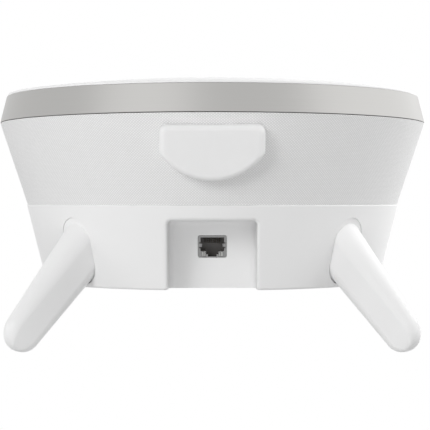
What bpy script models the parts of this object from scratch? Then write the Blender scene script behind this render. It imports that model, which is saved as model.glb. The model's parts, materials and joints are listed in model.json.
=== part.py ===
"""Mesh wifi node: a round network node that leans back on two plug-in legs and a front foot.

Units are metres. The body is modelled along its own axis: the rear rim at z = 0, the domed face
towards +z, and the network socket in a recess on the underside, towards -y. The empty
stand_frame then leans the whole body back and sets it down on the floor, z = 0.
"""
import math

import bmesh
import bpy
from mathutils import Euler, Vector

# Fits and facets
GAP = 0.0003                     # clearance between neighbouring pieces
FACETS = 60                      # sides of the turned shells
SMALL_FACETS = 8                 # sides of screws, posts and other small round pieces
ARC_STEPS = 2                    # facets in a rounded edge
SMOOTH_ANGLE = 35.0              # degrees; sharper edges stay crisp
MERGE_DISTANCE = 0.000001        # points closer than this are one point

# Stance
FACE_TILT = 10.0                 # degrees that the face looks up

# Metal trim ring
RING_RADIUS = 0.1152             # at the ring's rear edge, the widest of the body
RING_TAPER = 0.0035              # how much narrower the ring is at its front edge
RING_HEIGHT = 0.0139
RING_WALL = 0.0022
RING_FLANGE_REACH = 0.0080
RING_FLANGE_THICKNESS = 0.0020
RING_EDGE = 0.0004
RING_OVERHANG = 0.0002           # the ring stands this proud of the fabric
SHADOW_GAP = 0.0004              # dark line between ring and fabric

# Fabric sleeve and the shell under it
FABRIC_HEIGHT = 0.0431
FABRIC_TAPER = 0.0139
FABRIC_THICKNESS = 0.0012
FABRIC_EDGE = 0.0005
UPPER_WALL = 0.0020
UPPER_FLANGE_REACH = 0.0050
UPPER_FLANGE_THICKNESS = 0.0020
SPIGOT_LENGTH = 0.0041           # the part of the upper shell that plugs into the base
LEDGE_LEVEL = 0.0320             # antenna ledge, in front of the seam
LEDGE_REACH = 0.0080
LEDGE_THICKNESS = 0.0030

# Base shell
SEAM_GAP = 0.0004
SEAM_STEP = 0.0004               # the fabric stands this proud of the base
BASE_TAPER = 0.0103
BASE_WALL = 0.0020
BASE_REAR_EDGE = 0.0016
BASE_SEAM_EDGE = 0.0009
SHELF_WIDTH = 0.0093             # inner shelf that the rear cover screws to
SHELF_THICKNESS = 0.0050

# Domed front cover
LIP_HEIGHT = 0.0010
LIP_ROUND = 0.0009
LIP_SETBACK = 0.0004             # the lip stands this far inside the ring's front edge
DOME_RISE = 0.0077
DOME_STEPS = 6
COVER_WALL = 0.0018
SKIRT_LENGTH = 0.0070

# Port recess on the underside
RECESS_WIDTH = 0.0432
RECESS_HEIGHT = 0.0344           # from the rear rim, where the recess is open
RECESS_DEPTH = 0.0214            # from the rear rim's radius to the back wall
RECESS_CORNER = 0.0020

# Network jack
JACK_WIDTH = 0.0158
JACK_HEIGHT = 0.0130
JACK_DEPTH = 0.0189
JACK_SHEET = 0.0004              # sheet metal of the jack's shield
NOSE_WIDTH = 0.0144
NOSE_HEIGHT = 0.0116
NOSE_RISE = 0.0008               # nose above the underside of the jack
NOSE_SETBACK = 0.0005            # nose behind the face of the recess wall
NOSE_CORNER = 0.0006
PLUG_WIDTH = 0.01184
PLUG_HEIGHT = 0.00683
PLUG_DEPTH = 0.0140
PLUG_CEILING = 0.00045           # wall over the plug cavity
LATCH_WIDTH = 0.0062
LATCH_HEIGHT = 0.0018
LATCH_NECK_WIDTH = 0.0040
CONTACT_COUNT = 8
CONTACT_PITCH = 0.00102
CONTACT_SIZE = 0.00042
CONTACT_LENGTH = 0.0105
CONTACT_DROP = 0.0022            # fall of a contact from the mouth to its tip
LIGHT_WIDTH = 0.0019
LIGHT_HEIGHT = 0.0016
LIGHT_LENGTH = 0.0110

# Leg sockets and legs
SOCKET_ANGLE = 45.0              # degrees round the axis, to each side of the recess
SOCKET_WIDTH = 0.0206
SOCKET_HEIGHT = 0.0335
SOCKET_DEPTH = 0.0180
SOCKET_RIM = 0.0016              # base material between a socket and the rear rim
LEG_REACH = 0.0344               # from the base wall out to the centre of the tip
LEG_DROP = 0.0382                # from the middle of the socket back to the centre of the tip
LEG_TIP_WIDTH = 0.0104
LEG_TIP_HEIGHT = 0.0204
LEG_POINTS = 24
LEG_STEPS = 3                    # rings from the collar to the tip
TIP_STEPS = 5                    # rings round the end of the tip
TONGUE_CHAMFER = 0.0008
COLLAR_SETBACK = 0.0006          # collar inside the face of the base wall
COLLAR_STEP = 0.0002             # the leg is drawn in this much from the edge of its collar
COLLAR_SHELF = 0.0026            # and leaves this much of the collar free in front of it

# Front foot
FOOT_WIDTH = 0.0497
FOOT_LENGTH = 0.0267
FOOT_SIDE = 0.0135               # length of the straight sides
FOOT_SETBACK = 0.0064            # from the fabric's front edge to the foot
FOOT_CORNER = 0.0036
FOOT_HEEL_BLEND = 0.0050
FOOT_HEEL_STEPS = 10
FOOT_EDGE = 0.0030
FOOT_SCREW_SPACING = 0.0240

# Rear cover
REAR_INSET = 0.0015              # cover face inside the rear rim
REAR_PLATE = 0.0025
POST_HEIGHT = 0.0080
POST_RADIUS = 0.0035
POST_MARGIN = 0.0075             # centre of a post inside the edge of the board
POST_ANGLES = (60.0, 130.0)      # degrees from the recess, to both sides
UPPER_SCREW_ANGLE = 120.0        # the two cover screws on the side away from the recess
VENT_RADIUS = 0.0360             # the vents fill a round field
VENT_WIDTH = 0.0026
VENT_PITCH = 0.0060

# Pair button
BUTTON_RADIUS = 0.0040
BUTTON_OFFSET = 0.0520           # above the axis
BUTTON_PROUD = 0.0003
BUTTON_FLANGE_REACH = 0.0012
BUTTON_FLANGE_THICKNESS = 0.0010
BUTTON_STEM_RADIUS = 0.0015
BUTTON_TRAVEL = 0.0010
SWITCH_SIZE = 0.0060
SWITCH_HEIGHT = 0.0035

# Main board
BOARD_THICKNESS = 0.0016
BOARD_MARGIN = 0.0045            # board edge to the walls of the leg sockets
BOARD_PORT_MARGIN = 0.0010       # board edge to the wall of the port recess
BOARD_STEPS = 36
PROCESSOR_SIZE = 0.0230
PROCESSOR_HEIGHT = 0.0020
PAD_SIZE = 0.0200
PAD_HEIGHT = 0.0010
SINK_WIDTH = 0.0360
SINK_LENGTH = 0.0440
SINK_OFFSET = 0.0080             # middle of the heat sink above the axis
SINK_BASE = 0.0030
SINK_HEIGHT = 0.0220
FIN_COUNT = 7
FIN_THICKNESS = 0.0014
CAN_WIDTH = 0.0240
CAN_LENGTH = 0.0220
CAN_HEIGHT = 0.0040
CAN_SPACING = 0.0040             # radio can to heat sink
MEMORY_WIDTH = 0.0130
MEMORY_LENGTH = 0.0090
MEMORY_HEIGHT = 0.0011
MEMORY_SPACING = 0.0052
TRANSFORMER_WIDTH = 0.0200
TRANSFORMER_LENGTH = 0.0180
TRANSFORMER_HEIGHT = 0.0140
CAPACITOR_RADIUS = 0.0060
CAPACITOR_HEIGHT = 0.0160
POWER_SPACING = 0.0070           # power parts to the sides of the jack

# Antenna frame
FRAME_WIDTH = 0.0440
FRAME_THICKNESS = 0.0020
ANTENNA_COUNT = 4
ANTENNA_INSET = 0.0195
ANTENNA_WIDTH = 0.0340
ANTENNA_HEIGHT = 0.0180
ANTENNA_ARM = 0.0050
ANTENNA_THICKNESS = 0.0008
CABLE_RADIUS = 0.0009
CABLE_RISE = 0.0200              # straight start of an antenna cable at the board
CABLE_POINTS = 17
CABLE_CLEARANCE = 0.0054         # cable to the edge of the frame's opening, where it passes through
CABLE_LANDING = 0.0027           # from that edge to where the cable comes down on the frame
CABLE_ARCH_HEIGHT = 0.0018       # and how high it rises over the edge
CABLE_STEPS = 2                  # facets in a quarter of a cable's girth

# Status light
STATUS_RADIUS = 0.0013
STATUS_INSET = 0.0158            # inside the circle of the antenna frame's screws
STATUS_SINK = 0.0002             # lens below the dome
LIGHT_BOARD_WIDTH = 0.0160
LIGHT_BOARD_LENGTH = 0.0120
LIGHT_BOARD_THICKNESS = 0.0012

# Screws
SCREW_RADIUS = 0.0012
SCREW_HEAD_RADIUS = 0.0025
SCREW_HEAD_HEIGHT = 0.0012
SCREW_HEAD_FLAT = 0.0018         # radius of the flat on top of the head
SCREW_LENGTH = 0.0065

# Stations along the axis
SOCKET_TOP = SOCKET_RIM + SOCKET_HEIGHT
SPIGOT_REAR = max(RECESS_HEIGHT, SOCKET_TOP) + BASE_WALL + GAP
BASE_FRONT = SPIGOT_REAR + SPIGOT_LENGTH
FABRIC_REAR = BASE_FRONT + SEAM_GAP
FABRIC_FRONT = FABRIC_REAR + FABRIC_HEIGHT
RING_REAR = FABRIC_FRONT + SHADOW_GAP
RING_FRONT = RING_REAR + RING_HEIGHT
LIP_REAR = RING_FRONT + GAP
LIP_FRONT = LIP_REAR + LIP_HEIGHT
DOME_FRONT = LIP_FRONT + DOME_RISE
REAR_INNER = REAR_INSET + REAR_PLATE
SHELF_REAR = REAR_INNER + GAP
BOARD_REAR = REAR_INNER + POST_HEIGHT + GAP
BOARD_FRONT = BOARD_REAR + BOARD_THICKNESS
JACK_REAR = BOARD_FRONT + GAP
NOSE_REAR = JACK_REAR + NOSE_RISE
LEDGE_FRONT = FABRIC_REAR + LEDGE_LEVEL
FRAME_REAR = LEDGE_FRONT + GAP
FRAME_FRONT = FRAME_REAR + FRAME_THICKNESS

# Radii and distances from the axis
FABRIC_FRONT_RADIUS = RING_RADIUS - RING_OVERHANG
FABRIC_REAR_RADIUS = FABRIC_FRONT_RADIUS - FABRIC_TAPER
BASE_FRONT_RADIUS = FABRIC_REAR_RADIUS - SEAM_STEP
BASE_REAR_RADIUS = BASE_FRONT_RADIUS - BASE_TAPER
RING_FRONT_RADIUS = RING_RADIUS - RING_TAPER
RING_BORE = RING_FRONT_RADIUS - RING_WALL
RECESS_BACK = BASE_REAR_RADIUS - RECESS_DEPTH
NOSE_FACE = RECESS_BACK - NOSE_SETBACK
JACK_FACE = RECESS_BACK - BASE_WALL - GAP
JACK_BACK = JACK_FACE - JACK_DEPTH
FABRIC_SLOPE = math.atan2(FABRIC_TAPER, FABRIC_HEIGHT)

PORT_SIDE = (math.pi / 2, 0.0, 0.0)   # turns x, y, z into sideways, frontward, out of the underside


def base_radius(z):
    """Outer radius of the base shell at a height z above the rear rim."""
    return BASE_REAR_RADIUS + BASE_TAPER * z / BASE_FRONT


def base_bore(z):
    """Inner radius of the base shell."""
    return base_radius(z) - BASE_WALL


def fabric_radius(z):
    """Outer radius of the fabric sleeve."""
    return FABRIC_REAR_RADIUS + FABRIC_TAPER * (z - FABRIC_REAR) / FABRIC_HEIGHT


def upper_radius(z):
    """Outer radius of the upper shell, just under the fabric."""
    return fabric_radius(z) - FABRIC_THICKNESS - GAP


def upper_bore(z):
    """Inner radius of the upper shell."""
    return upper_radius(z) - UPPER_WALL


SOCKET_MIDDLE = SOCKET_RIM + SOCKET_HEIGHT / 2
SOCKET_FLOOR = base_radius(SOCKET_MIDDLE) - SOCKET_DEPTH
BOARD_RADIUS = SOCKET_FLOOR - BASE_WALL - BOARD_MARGIN
BOARD_PORT_EDGE = RECESS_BACK - BASE_WALL - BOARD_PORT_MARGIN
SHELF_BORE = base_bore(SHELF_REAR) - SHELF_WIDTH
COVER_SCREW_CIRCLE = SHELF_BORE + SHELF_WIDTH / 2
COVER_RADIUS = RING_FRONT_RADIUS - LIP_SETBACK
DOME_RADIUS = (COVER_RADIUS ** 2 + DOME_RISE ** 2) / (2 * DOME_RISE)
FRAME_RADIUS = upper_bore(FRAME_REAR) - GAP
FRAME_BORE = FRAME_RADIUS - FRAME_WIDTH
FRAME_SCREW_CIRCLE = upper_bore(LEDGE_FRONT) - LEDGE_REACH / 2
ANTENNA_CIRCLE = FRAME_RADIUS - ANTENNA_INSET
STATUS_OFFSET = FRAME_SCREW_CIRCLE - STATUS_INSET


def dome_height(radius, drop=0.0):
    """Height of the dome at a radius, or of the surface that lies drop inside it."""
    inner = DOME_RADIUS - drop
    return DOME_FRONT - DOME_RADIUS + math.sqrt(inner ** 2 - radius ** 2)


def polar(radius, angle, z=0.0):
    """Point at a radius and an angle, in radians, counted round the axis from the recess."""
    return Vector((radius * math.sin(angle), -radius * math.cos(angle), z))


def outward(angle, lean=0.0):
    """Rotation that turns z outwards at an angle from the recess, leaning rearwards."""
    return (math.pi / 2 + lean, 0.0, angle)


# Outlines

def rounded(corners):
    """Outline through corners (a, b, radius), with each corner turned by an arc of its radius."""
    points = []
    for index, (a, b, radius) in enumerate(corners):
        corner = Vector((a, b))
        if radius == 0:
            points.append(corner)
            continue
        before = (Vector(corners[index - 1][:2]) - corner).normalized()
        after = (Vector(corners[(index + 1) % len(corners)][:2]) - corner).normalized()
        half_angle = before.angle(after) / 2
        centre = corner + (before + after).normalized() * radius / math.sin(half_angle)
        start = corner + before * radius / math.tan(half_angle) - centre
        end = corner + after * radius / math.tan(half_angle) - centre
        turn = math.atan2(start.cross(end), start.dot(end))
        for step in range(ARC_STEPS + 1):
            angle = turn * step / ARC_STEPS
            along = start * math.cos(angle)
            across = Vector((-start.y, start.x)) * math.sin(angle)
            points.append(centre + along + across)
    return points


def rectangle(width, low, high, corner=0.0):
    """Upright rectangle centred on the first axis, from low to high on the second."""
    half = width / 2
    return rounded([(-half, low, corner), (half, low, corner), (half, high, corner), (-half, high, corner)])


def circle(radius, facets=SMALL_FACETS, centre=(0.0, 0.0)):
    """Small round outline with a flat across each axis."""
    turns = [2 * math.pi * (step + 0.5) / facets for step in range(facets)]
    return [Vector((centre[0] + radius * math.cos(t), centre[1] + radius * math.sin(t))) for t in turns]


def shell_circle(radius):
    """Large round outline, with its corners in line with those of the turned shells."""
    turns = [2 * math.pi * step / FACETS for step in range(FACETS)]
    return [Vector((radius * math.cos(turn), radius * math.sin(turn))) for turn in turns]


def stadium(width, height, points=LEG_POINTS):
    """Slot outline with round ends, longer along its second axis."""
    outline = []
    straight = (height - width) / 2
    for step in range(points):
        turn = 2 * math.pi * (step + 0.5) / points
        end = straight if math.sin(turn) > 0 else -straight
        outline.append(Vector((width / 2 * math.cos(turn), end + width / 2 * math.sin(turn))))
    return outline


# Meshes

def turned(profile, facets=FACETS, closed=True):
    """Profile of (radius, z) points turned once round z; an open profile starts and ends on the axis."""
    mesh = bmesh.new()
    verts = [mesh.verts.new((radius, 0.0, z)) for radius, z in profile]
    ends = verts[1:] + verts[:1] if closed else verts[1:]
    edges = [mesh.edges.new(pair) for pair in zip(verts, ends)]
    bmesh.ops.spin(mesh, geom=verts + edges, axis=(0, 0, 1), angle=2 * math.pi, steps=facets, use_merge=True)
    bmesh.ops.remove_doubles(mesh, verts=mesh.verts, dist=MERGE_DISTANCE)
    bmesh.ops.recalc_face_normals(mesh, faces=mesh.faces)
    return mesh


def extruded(outlines, low, high):
    """Outlines drawn in x and y, each made a prism from low to high along z."""
    mesh = bmesh.new()
    for outline in outlines:
        face = mesh.faces.new([mesh.verts.new((a, b, low)) for a, b in outline])
        lifted = bmesh.ops.extrude_face_region(mesh, geom=[face])["geom"]
        raised = [item for item in lifted if isinstance(item, bmesh.types.BMVert)]
        bmesh.ops.translate(mesh, verts=raised, vec=(0.0, 0.0, high - low))
    bmesh.ops.recalc_face_normals(mesh, faces=mesh.faces)
    return mesh


def lofted(rings):
    """Closed skin over rings of equally many points; a ring of one point is a pole."""
    mesh = bmesh.new()
    loops = [[mesh.verts.new(point) for point in ring] for ring in rings]
    for lower, upper in zip(loops, loops[1:]):
        for index in range(len(lower)):
            after = (index + 1) % len(lower)
            if len(upper) == 1:
                mesh.faces.new((lower[index], lower[after], upper[0]))
            else:
                mesh.faces.new((lower[index], lower[after], upper[after], upper[index]))
    for end in (loops[0], loops[-1]):
        if len(end) > 1:
            mesh.faces.new(end)
    bmesh.ops.recalc_face_normals(mesh, faces=mesh.faces)
    return mesh


def stacked(profile):
    """Round solid over a stack of (radius, z) rings, closed by one flat face at each end."""
    return lofted([[Vector((*point, z)) for point in shell_circle(radius)] for radius, z in profile])


# Objects

def finish(name, colour, roughness, metallic=0.0):
    """Principled material of one colour."""
    material = bpy.data.materials.new(name)
    material.use_nodes = True
    shader = material.node_tree.nodes["Principled BSDF"]
    shader.inputs["Base Color"].default_value = (*colour, 1.0)
    shader.inputs["Roughness"].default_value = roughness
    shader.inputs["Metallic"].default_value = metallic
    return material


def place(item, location, rotation):
    """Puts an object in the stand frame and in the scene."""
    item.location = location
    item.rotation_euler = rotation
    item.parent = bpy.data.objects["stand_frame"]
    bpy.context.collection.objects.link(item)
    return item


def add_piece(name, mesh, material, location=(0, 0, 0), rotation=(0, 0, 0)):
    """Makes a named object from a mesh under construction."""
    data = bpy.data.meshes.new(name)
    mesh.to_mesh(data)
    mesh.free()
    data.shade_smooth()
    data.set_sharp_from_angle(angle=math.radians(SMOOTH_ANGLE))
    data.materials.append(bpy.data.materials[material])
    return place(bpy.data.objects.new(name, data), location, rotation)


def add_guide(name, mesh, location=(0, 0, 0), rotation=(0, 0, 0)):
    """Makes a shape that only cuts or joins other pieces."""
    data = bpy.data.meshes.new(name)
    mesh.to_mesh(data)
    mesh.free()
    guide = place(bpy.data.objects.new(name, data), location, rotation)
    guide.hide_render = True
    guide.display_type = "WIRE"
    return guide


def combine(piece, guides, operation="DIFFERENCE"):
    """Cuts guides out of a piece, or joins them to it with operation UNION."""
    for guide in guides:
        step = piece.modifiers.new(guide.name, "BOOLEAN")
        step.operation = operation
        step.solver = "EXACT"
        step.object = guide
    return piece


def screw(name, location, rotation):
    """Pan-head screw driven along its own z, with the underside of its head at the origin."""
    profile = [(0.0, -SCREW_HEAD_HEIGHT), (SCREW_HEAD_FLAT, -SCREW_HEAD_HEIGHT),
               (SCREW_HEAD_RADIUS, -SCREW_HEAD_HEIGHT / 2), (SCREW_HEAD_RADIUS, 0.0), (SCREW_RADIUS, 0.0),
               (SCREW_RADIUS, SCREW_LENGTH - SCREW_RADIUS), (0.0, SCREW_LENGTH)]
    return add_piece(name, turned(profile, SMALL_FACETS, closed=False), "screw_steel", location, rotation)


def screw_hole(name, location, rotation):
    """Guide that clears a screw's shank, from under its head to past its tip."""
    hole = extruded([circle(SCREW_RADIUS + GAP)], -GAP, SCREW_LENGTH + GAP)
    return add_guide(name, hole, location, rotation)


# Shells

def make_base_shell():
    """Tapered base with the port recess, the two leg sockets and the shelf for the rear cover."""
    overshoot = 2 * BASE_WALL
    outer = rounded([(0.0, 0.0, 0), (BASE_REAR_RADIUS, 0.0, BASE_REAR_EDGE),
                     (BASE_FRONT_RADIUS, BASE_FRONT, BASE_SEAM_EDGE), (0.0, BASE_FRONT, 0)])
    shell = add_piece("base_shell", stacked(outer[1:-1]), "base_plastic")

    shelf_front = SHELF_REAR + SHELF_THICKNESS
    inside = [(base_bore(-overshoot), -overshoot), (base_bore(SHELF_REAR), SHELF_REAR),
              (SHELF_BORE, SHELF_REAR), (SHELF_BORE, shelf_front), (base_bore(shelf_front), shelf_front),
              (base_bore(BASE_FRONT + overshoot), BASE_FRONT + overshoot)]
    hollow = add_guide("base_hollow", stacked(inside))
    combine(hollow, [recess_block("recess_wall", BASE_WALL)] + socket_blocks("socket_wall", BASE_WALL))

    combine(shell, [hollow, recess_block("recess", 0.0), *socket_blocks("socket", 0.0)])
    nose_front = NOSE_REAR + NOSE_HEIGHT
    opening = rectangle(NOSE_WIDTH + 2 * GAP, NOSE_REAR - GAP, nose_front + GAP, NOSE_CORNER + GAP)
    window = extruded([opening], JACK_FACE - BASE_WALL, RECESS_BACK + BASE_WALL)
    combine(shell, [add_guide("jack_window", window, rotation=PORT_SIDE)])
    for number, angle in enumerate(cover_screw_angles(), 1):
        seat = polar(COVER_SCREW_CIRCLE, angle, cover_screw_seat())
        combine(shell, [screw_hole(f"shelf_hole_{number}", seat, (0, 0, 0))])
    return shell


def recess_block(name, wall):
    """Space of the port recess, grown by a wall, open to the rear and to the underside."""
    width = RECESS_WIDTH + 2 * wall
    outline = rectangle(width, -RECESS_HEIGHT, RECESS_HEIGHT + wall, RECESS_CORNER)
    block = extruded([outline], RECESS_BACK - wall, RING_RADIUS)
    return add_guide(name, block, rotation=PORT_SIDE)


def socket_blocks(name, wall):
    """Spaces of the two leg sockets, grown by a wall."""
    outline = stadium(SOCKET_WIDTH + 2 * wall, SOCKET_HEIGHT + 2 * wall)
    blocks = []
    for side, angle in socket_angles():
        block = extruded([outline], -wall, RING_RADIUS - SOCKET_FLOOR)
        floor = polar(SOCKET_FLOOR, angle, SOCKET_MIDDLE)
        blocks.append(add_guide(f"{name}_{side}", block, floor, outward(angle)))
    return blocks


def socket_angles():
    """Names and angles of the two leg sockets, counted from the recess."""
    return (("left", -math.radians(SOCKET_ANGLE)), ("right", math.radians(SOCKET_ANGLE)))


def make_upper_shell():
    """Tapered shell under the fabric: spigot, antenna ledge and front flange in one turned profile."""
    shoulder = BASE_FRONT + GAP
    wall_rear = shoulder + UPPER_WALL
    front = RING_REAR - GAP
    flange_rear = front - UPPER_FLANGE_THICKNESS
    flange_bore = upper_radius(front) - UPPER_FLANGE_REACH
    ledge_bore = upper_bore(LEDGE_FRONT) - LEDGE_REACH
    ledge_rear = LEDGE_FRONT - LEDGE_THICKNESS
    spigot_rear_radius = base_bore(SPIGOT_REAR) - GAP
    spigot_front_radius = base_bore(BASE_FRONT) - GAP
    profile = [(spigot_rear_radius, SPIGOT_REAR), (spigot_front_radius, shoulder),
               (upper_radius(shoulder), shoulder), (upper_radius(front), front), (flange_bore, front),
               (flange_bore, flange_rear), (upper_bore(flange_rear), flange_rear),
               (upper_bore(LEDGE_FRONT), LEDGE_FRONT), (ledge_bore, LEDGE_FRONT), (ledge_bore, ledge_rear),
               (upper_bore(ledge_rear), ledge_rear), (upper_bore(wall_rear), wall_rear),
               (spigot_front_radius - UPPER_WALL, shoulder), (spigot_rear_radius - UPPER_WALL, SPIGOT_REAR)]
    shell = add_piece("upper_shell", turned(profile), "inner_plastic")
    combine(shell, [bpy.data.objects[f"foot_hole_{side}"] for side in ("left", "right")])
    for number, angle in enumerate(frame_screw_angles(), 1):
        seat = polar(FRAME_SCREW_CIRCLE, angle, FRAME_FRONT + GAP)
        combine(shell, [screw_hole(f"frame_hole_{number}", seat, (math.pi, 0, 0))])
    return shell


def make_fabric_sleeve():
    """Woven sleeve round the upper shell, with both edges rolled in."""
    rear_radius = fabric_radius(FABRIC_REAR)
    front_radius = fabric_radius(FABRIC_FRONT)
    profile = rounded([(rear_radius, FABRIC_REAR, FABRIC_EDGE), (front_radius, FABRIC_FRONT, FABRIC_EDGE),
                       (front_radius - FABRIC_THICKNESS, FABRIC_FRONT, 0),
                       (rear_radius - FABRIC_THICKNESS, FABRIC_REAR, 0)])
    sleeve = add_piece("fabric_sleeve", turned(profile), "woven_fabric")
    return combine(sleeve, [bpy.data.objects[f"foot_hole_{side}"] for side in ("left", "right")])


def make_trim_ring():
    """Metal ring with a flange that seats on the upper shell."""
    flange_bore = RING_BORE - RING_FLANGE_REACH
    flange_front = RING_REAR + RING_FLANGE_THICKNESS
    profile = rounded([(RING_RADIUS, RING_REAR, RING_EDGE), (RING_FRONT_RADIUS, RING_FRONT, RING_EDGE),
                       (RING_BORE, RING_FRONT, 0), (RING_BORE, flange_front, 0),
                       (flange_bore, flange_front, 0), (flange_bore, RING_REAR, 0)])
    return add_piece("trim_ring", turned(profile), "satin_metal")


def make_front_cover():
    """Domed front cover with a rounded lip and a skirt that plugs into the ring."""
    skirt_radius = RING_BORE - GAP
    skirt_bore = skirt_radius - COVER_WALL
    skirt_rear = LIP_REAR - SKIRT_LENGTH
    radii = [COVER_RADIUS * step / DOME_STEPS for step in range(DOME_STEPS)]
    inner_steps = DOME_STEPS // 2
    inner_radii = [skirt_bore * step / inner_steps for step in range(inner_steps, -1, -1)]
    dome = [(radius, dome_height(radius), 0) for radius in radii]
    lip = [(COVER_RADIUS, LIP_FRONT, LIP_ROUND), (COVER_RADIUS, LIP_REAR, 0), (skirt_radius, LIP_REAR, 0)]
    skirt = [(skirt_radius, skirt_rear, 0), (skirt_bore, skirt_rear, 0)]
    underside = [(radius, dome_height(radius, COVER_WALL), 0) for radius in inner_radii]
    profile = rounded(dome + lip + skirt + underside)
    cover = add_piece("front_cover", turned(profile, closed=False), "cover_plastic")
    hole = extruded([circle(STATUS_RADIUS + GAP)], LIP_REAR, DOME_FRONT)
    return combine(cover, [add_guide("status_hole", hole, (0.0, -STATUS_OFFSET, 0.0))])


# Rear cover and pair button

def cover_screw_angles():
    """Angles of the cover screws: two between recess and sockets, two on the far side."""
    recess_edge = math.asin((RECESS_WIDTH / 2 + BASE_WALL) / COVER_SCREW_CIRCLE)
    socket_edge = math.radians(SOCKET_ANGLE) - math.asin((SOCKET_WIDTH / 2 + BASE_WALL) / COVER_SCREW_CIRCLE)
    near = (recess_edge + socket_edge) / 2
    far = math.radians(UPPER_SCREW_ANGLE)
    return (-near, near, far, -far)


def cover_screw_seat():
    """Height of the underside of a cover screw's head, flush with the cover's face."""
    return REAR_INSET + SCREW_HEAD_HEIGHT


def post_places():
    """Centres of the board posts."""
    angles = [side * math.radians(angle) for angle in POST_ANGLES for side in (-1, 1)]
    return [polar(BOARD_RADIUS - POST_MARGIN, angle) for angle in angles]


def vent_outlines():
    """Slots side by side that fill a round field."""
    rows = int((VENT_RADIUS - VENT_WIDTH) / VENT_PITCH)
    outlines = []
    for row in range(-rows, rows + 1):
        level = row * VENT_PITCH
        length = 2 * math.sqrt(VENT_RADIUS ** 2 - level ** 2)
        slot = stadium(VENT_WIDTH, length, SMALL_FACETS)
        outlines.append([Vector((along, level + across)) for across, along in slot])
    return outlines


def make_rear_cover():
    """Flat vented cover, notched round the recess and the sockets, with posts for the board."""
    radius = base_bore(REAR_INSET) - GAP
    cover = add_piece("rear_cover", extruded([shell_circle(radius)], REAR_INSET, REAR_INNER), "base_plastic")
    posts = extruded([circle(POST_RADIUS, centre=spot.xy) for spot in post_places()],
                     REAR_INSET + REAR_PLATE / 2, REAR_INNER + POST_HEIGHT)
    combine(cover, [add_guide("board_posts", posts)], "UNION")

    clear = BASE_WALL + GAP
    combine(cover, [recess_block("recess_notch", clear)] + socket_blocks("socket_notch", clear))
    combine(cover, [add_guide("vents", extruded(vent_outlines(), 0.0, REAR_INNER + REAR_PLATE))])
    hole = extruded([circle(BUTTON_RADIUS + GAP, 2 * SMALL_FACETS)], 0.0, REAR_INNER + GAP)
    combine(cover, [add_guide("button_hole", hole, (0.0, BUTTON_OFFSET, 0.0))])
    for number, spot in enumerate(post_places(), 1):
        seat = (spot.x, spot.y, BOARD_FRONT + GAP)
        combine(cover, [screw_hole(f"post_hole_{number}", seat, (math.pi, 0, 0))])
        screw(f"board_screw_{number}", seat, (math.pi, 0, 0))
    for number, angle in enumerate(cover_screw_angles(), 1):
        seat = polar(COVER_SCREW_CIRCLE, angle, cover_screw_seat())
        head = extruded([circle(SCREW_HEAD_RADIUS + GAP)], -SCREW_HEAD_HEIGHT - GAP, GAP)
        combine(cover, [add_guide(f"head_recess_{number}", head, seat)])
        combine(cover, [screw_hole(f"cover_hole_{number}", seat, (0, 0, 0))])
        screw(f"cover_screw_{number}", seat, (0, 0, 0))
    return cover


def make_pair_button():
    """Push button in the rear cover and the switch behind it; the button's origin is on its axis."""
    face = -BUTTON_PROUD
    flange_rear = REAR_PLATE + GAP
    flange_front = flange_rear + BUTTON_FLANGE_THICKNESS
    switch_rear = BOARD_REAR - GAP - SWITCH_HEIGHT
    stem_end = switch_rear - GAP - BUTTON_TRAVEL - REAR_INSET
    flange_radius = BUTTON_RADIUS + BUTTON_FLANGE_REACH
    profile = [(0.0, face), (BUTTON_RADIUS - BUTTON_PROUD, face), (BUTTON_RADIUS, 0.0),
               (BUTTON_RADIUS, flange_rear), (flange_radius, flange_rear), (flange_radius, flange_front),
               (BUTTON_STEM_RADIUS, flange_front), (BUTTON_STEM_RADIUS, stem_end), (0.0, stem_end)]
    mesh = turned(profile, 2 * SMALL_FACETS, closed=False)
    add_piece("pair_button", mesh, "button_plastic", (0.0, BUTTON_OFFSET, REAR_INSET))
    outline = rectangle(SWITCH_SIZE, -SWITCH_SIZE / 2, SWITCH_SIZE / 2)
    switch = extruded([outline], switch_rear, switch_rear + SWITCH_HEIGHT)
    add_piece("pair_switch", switch, "black_plastic", (0.0, BUTTON_OFFSET, 0.0))


# Legs and front foot

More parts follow.
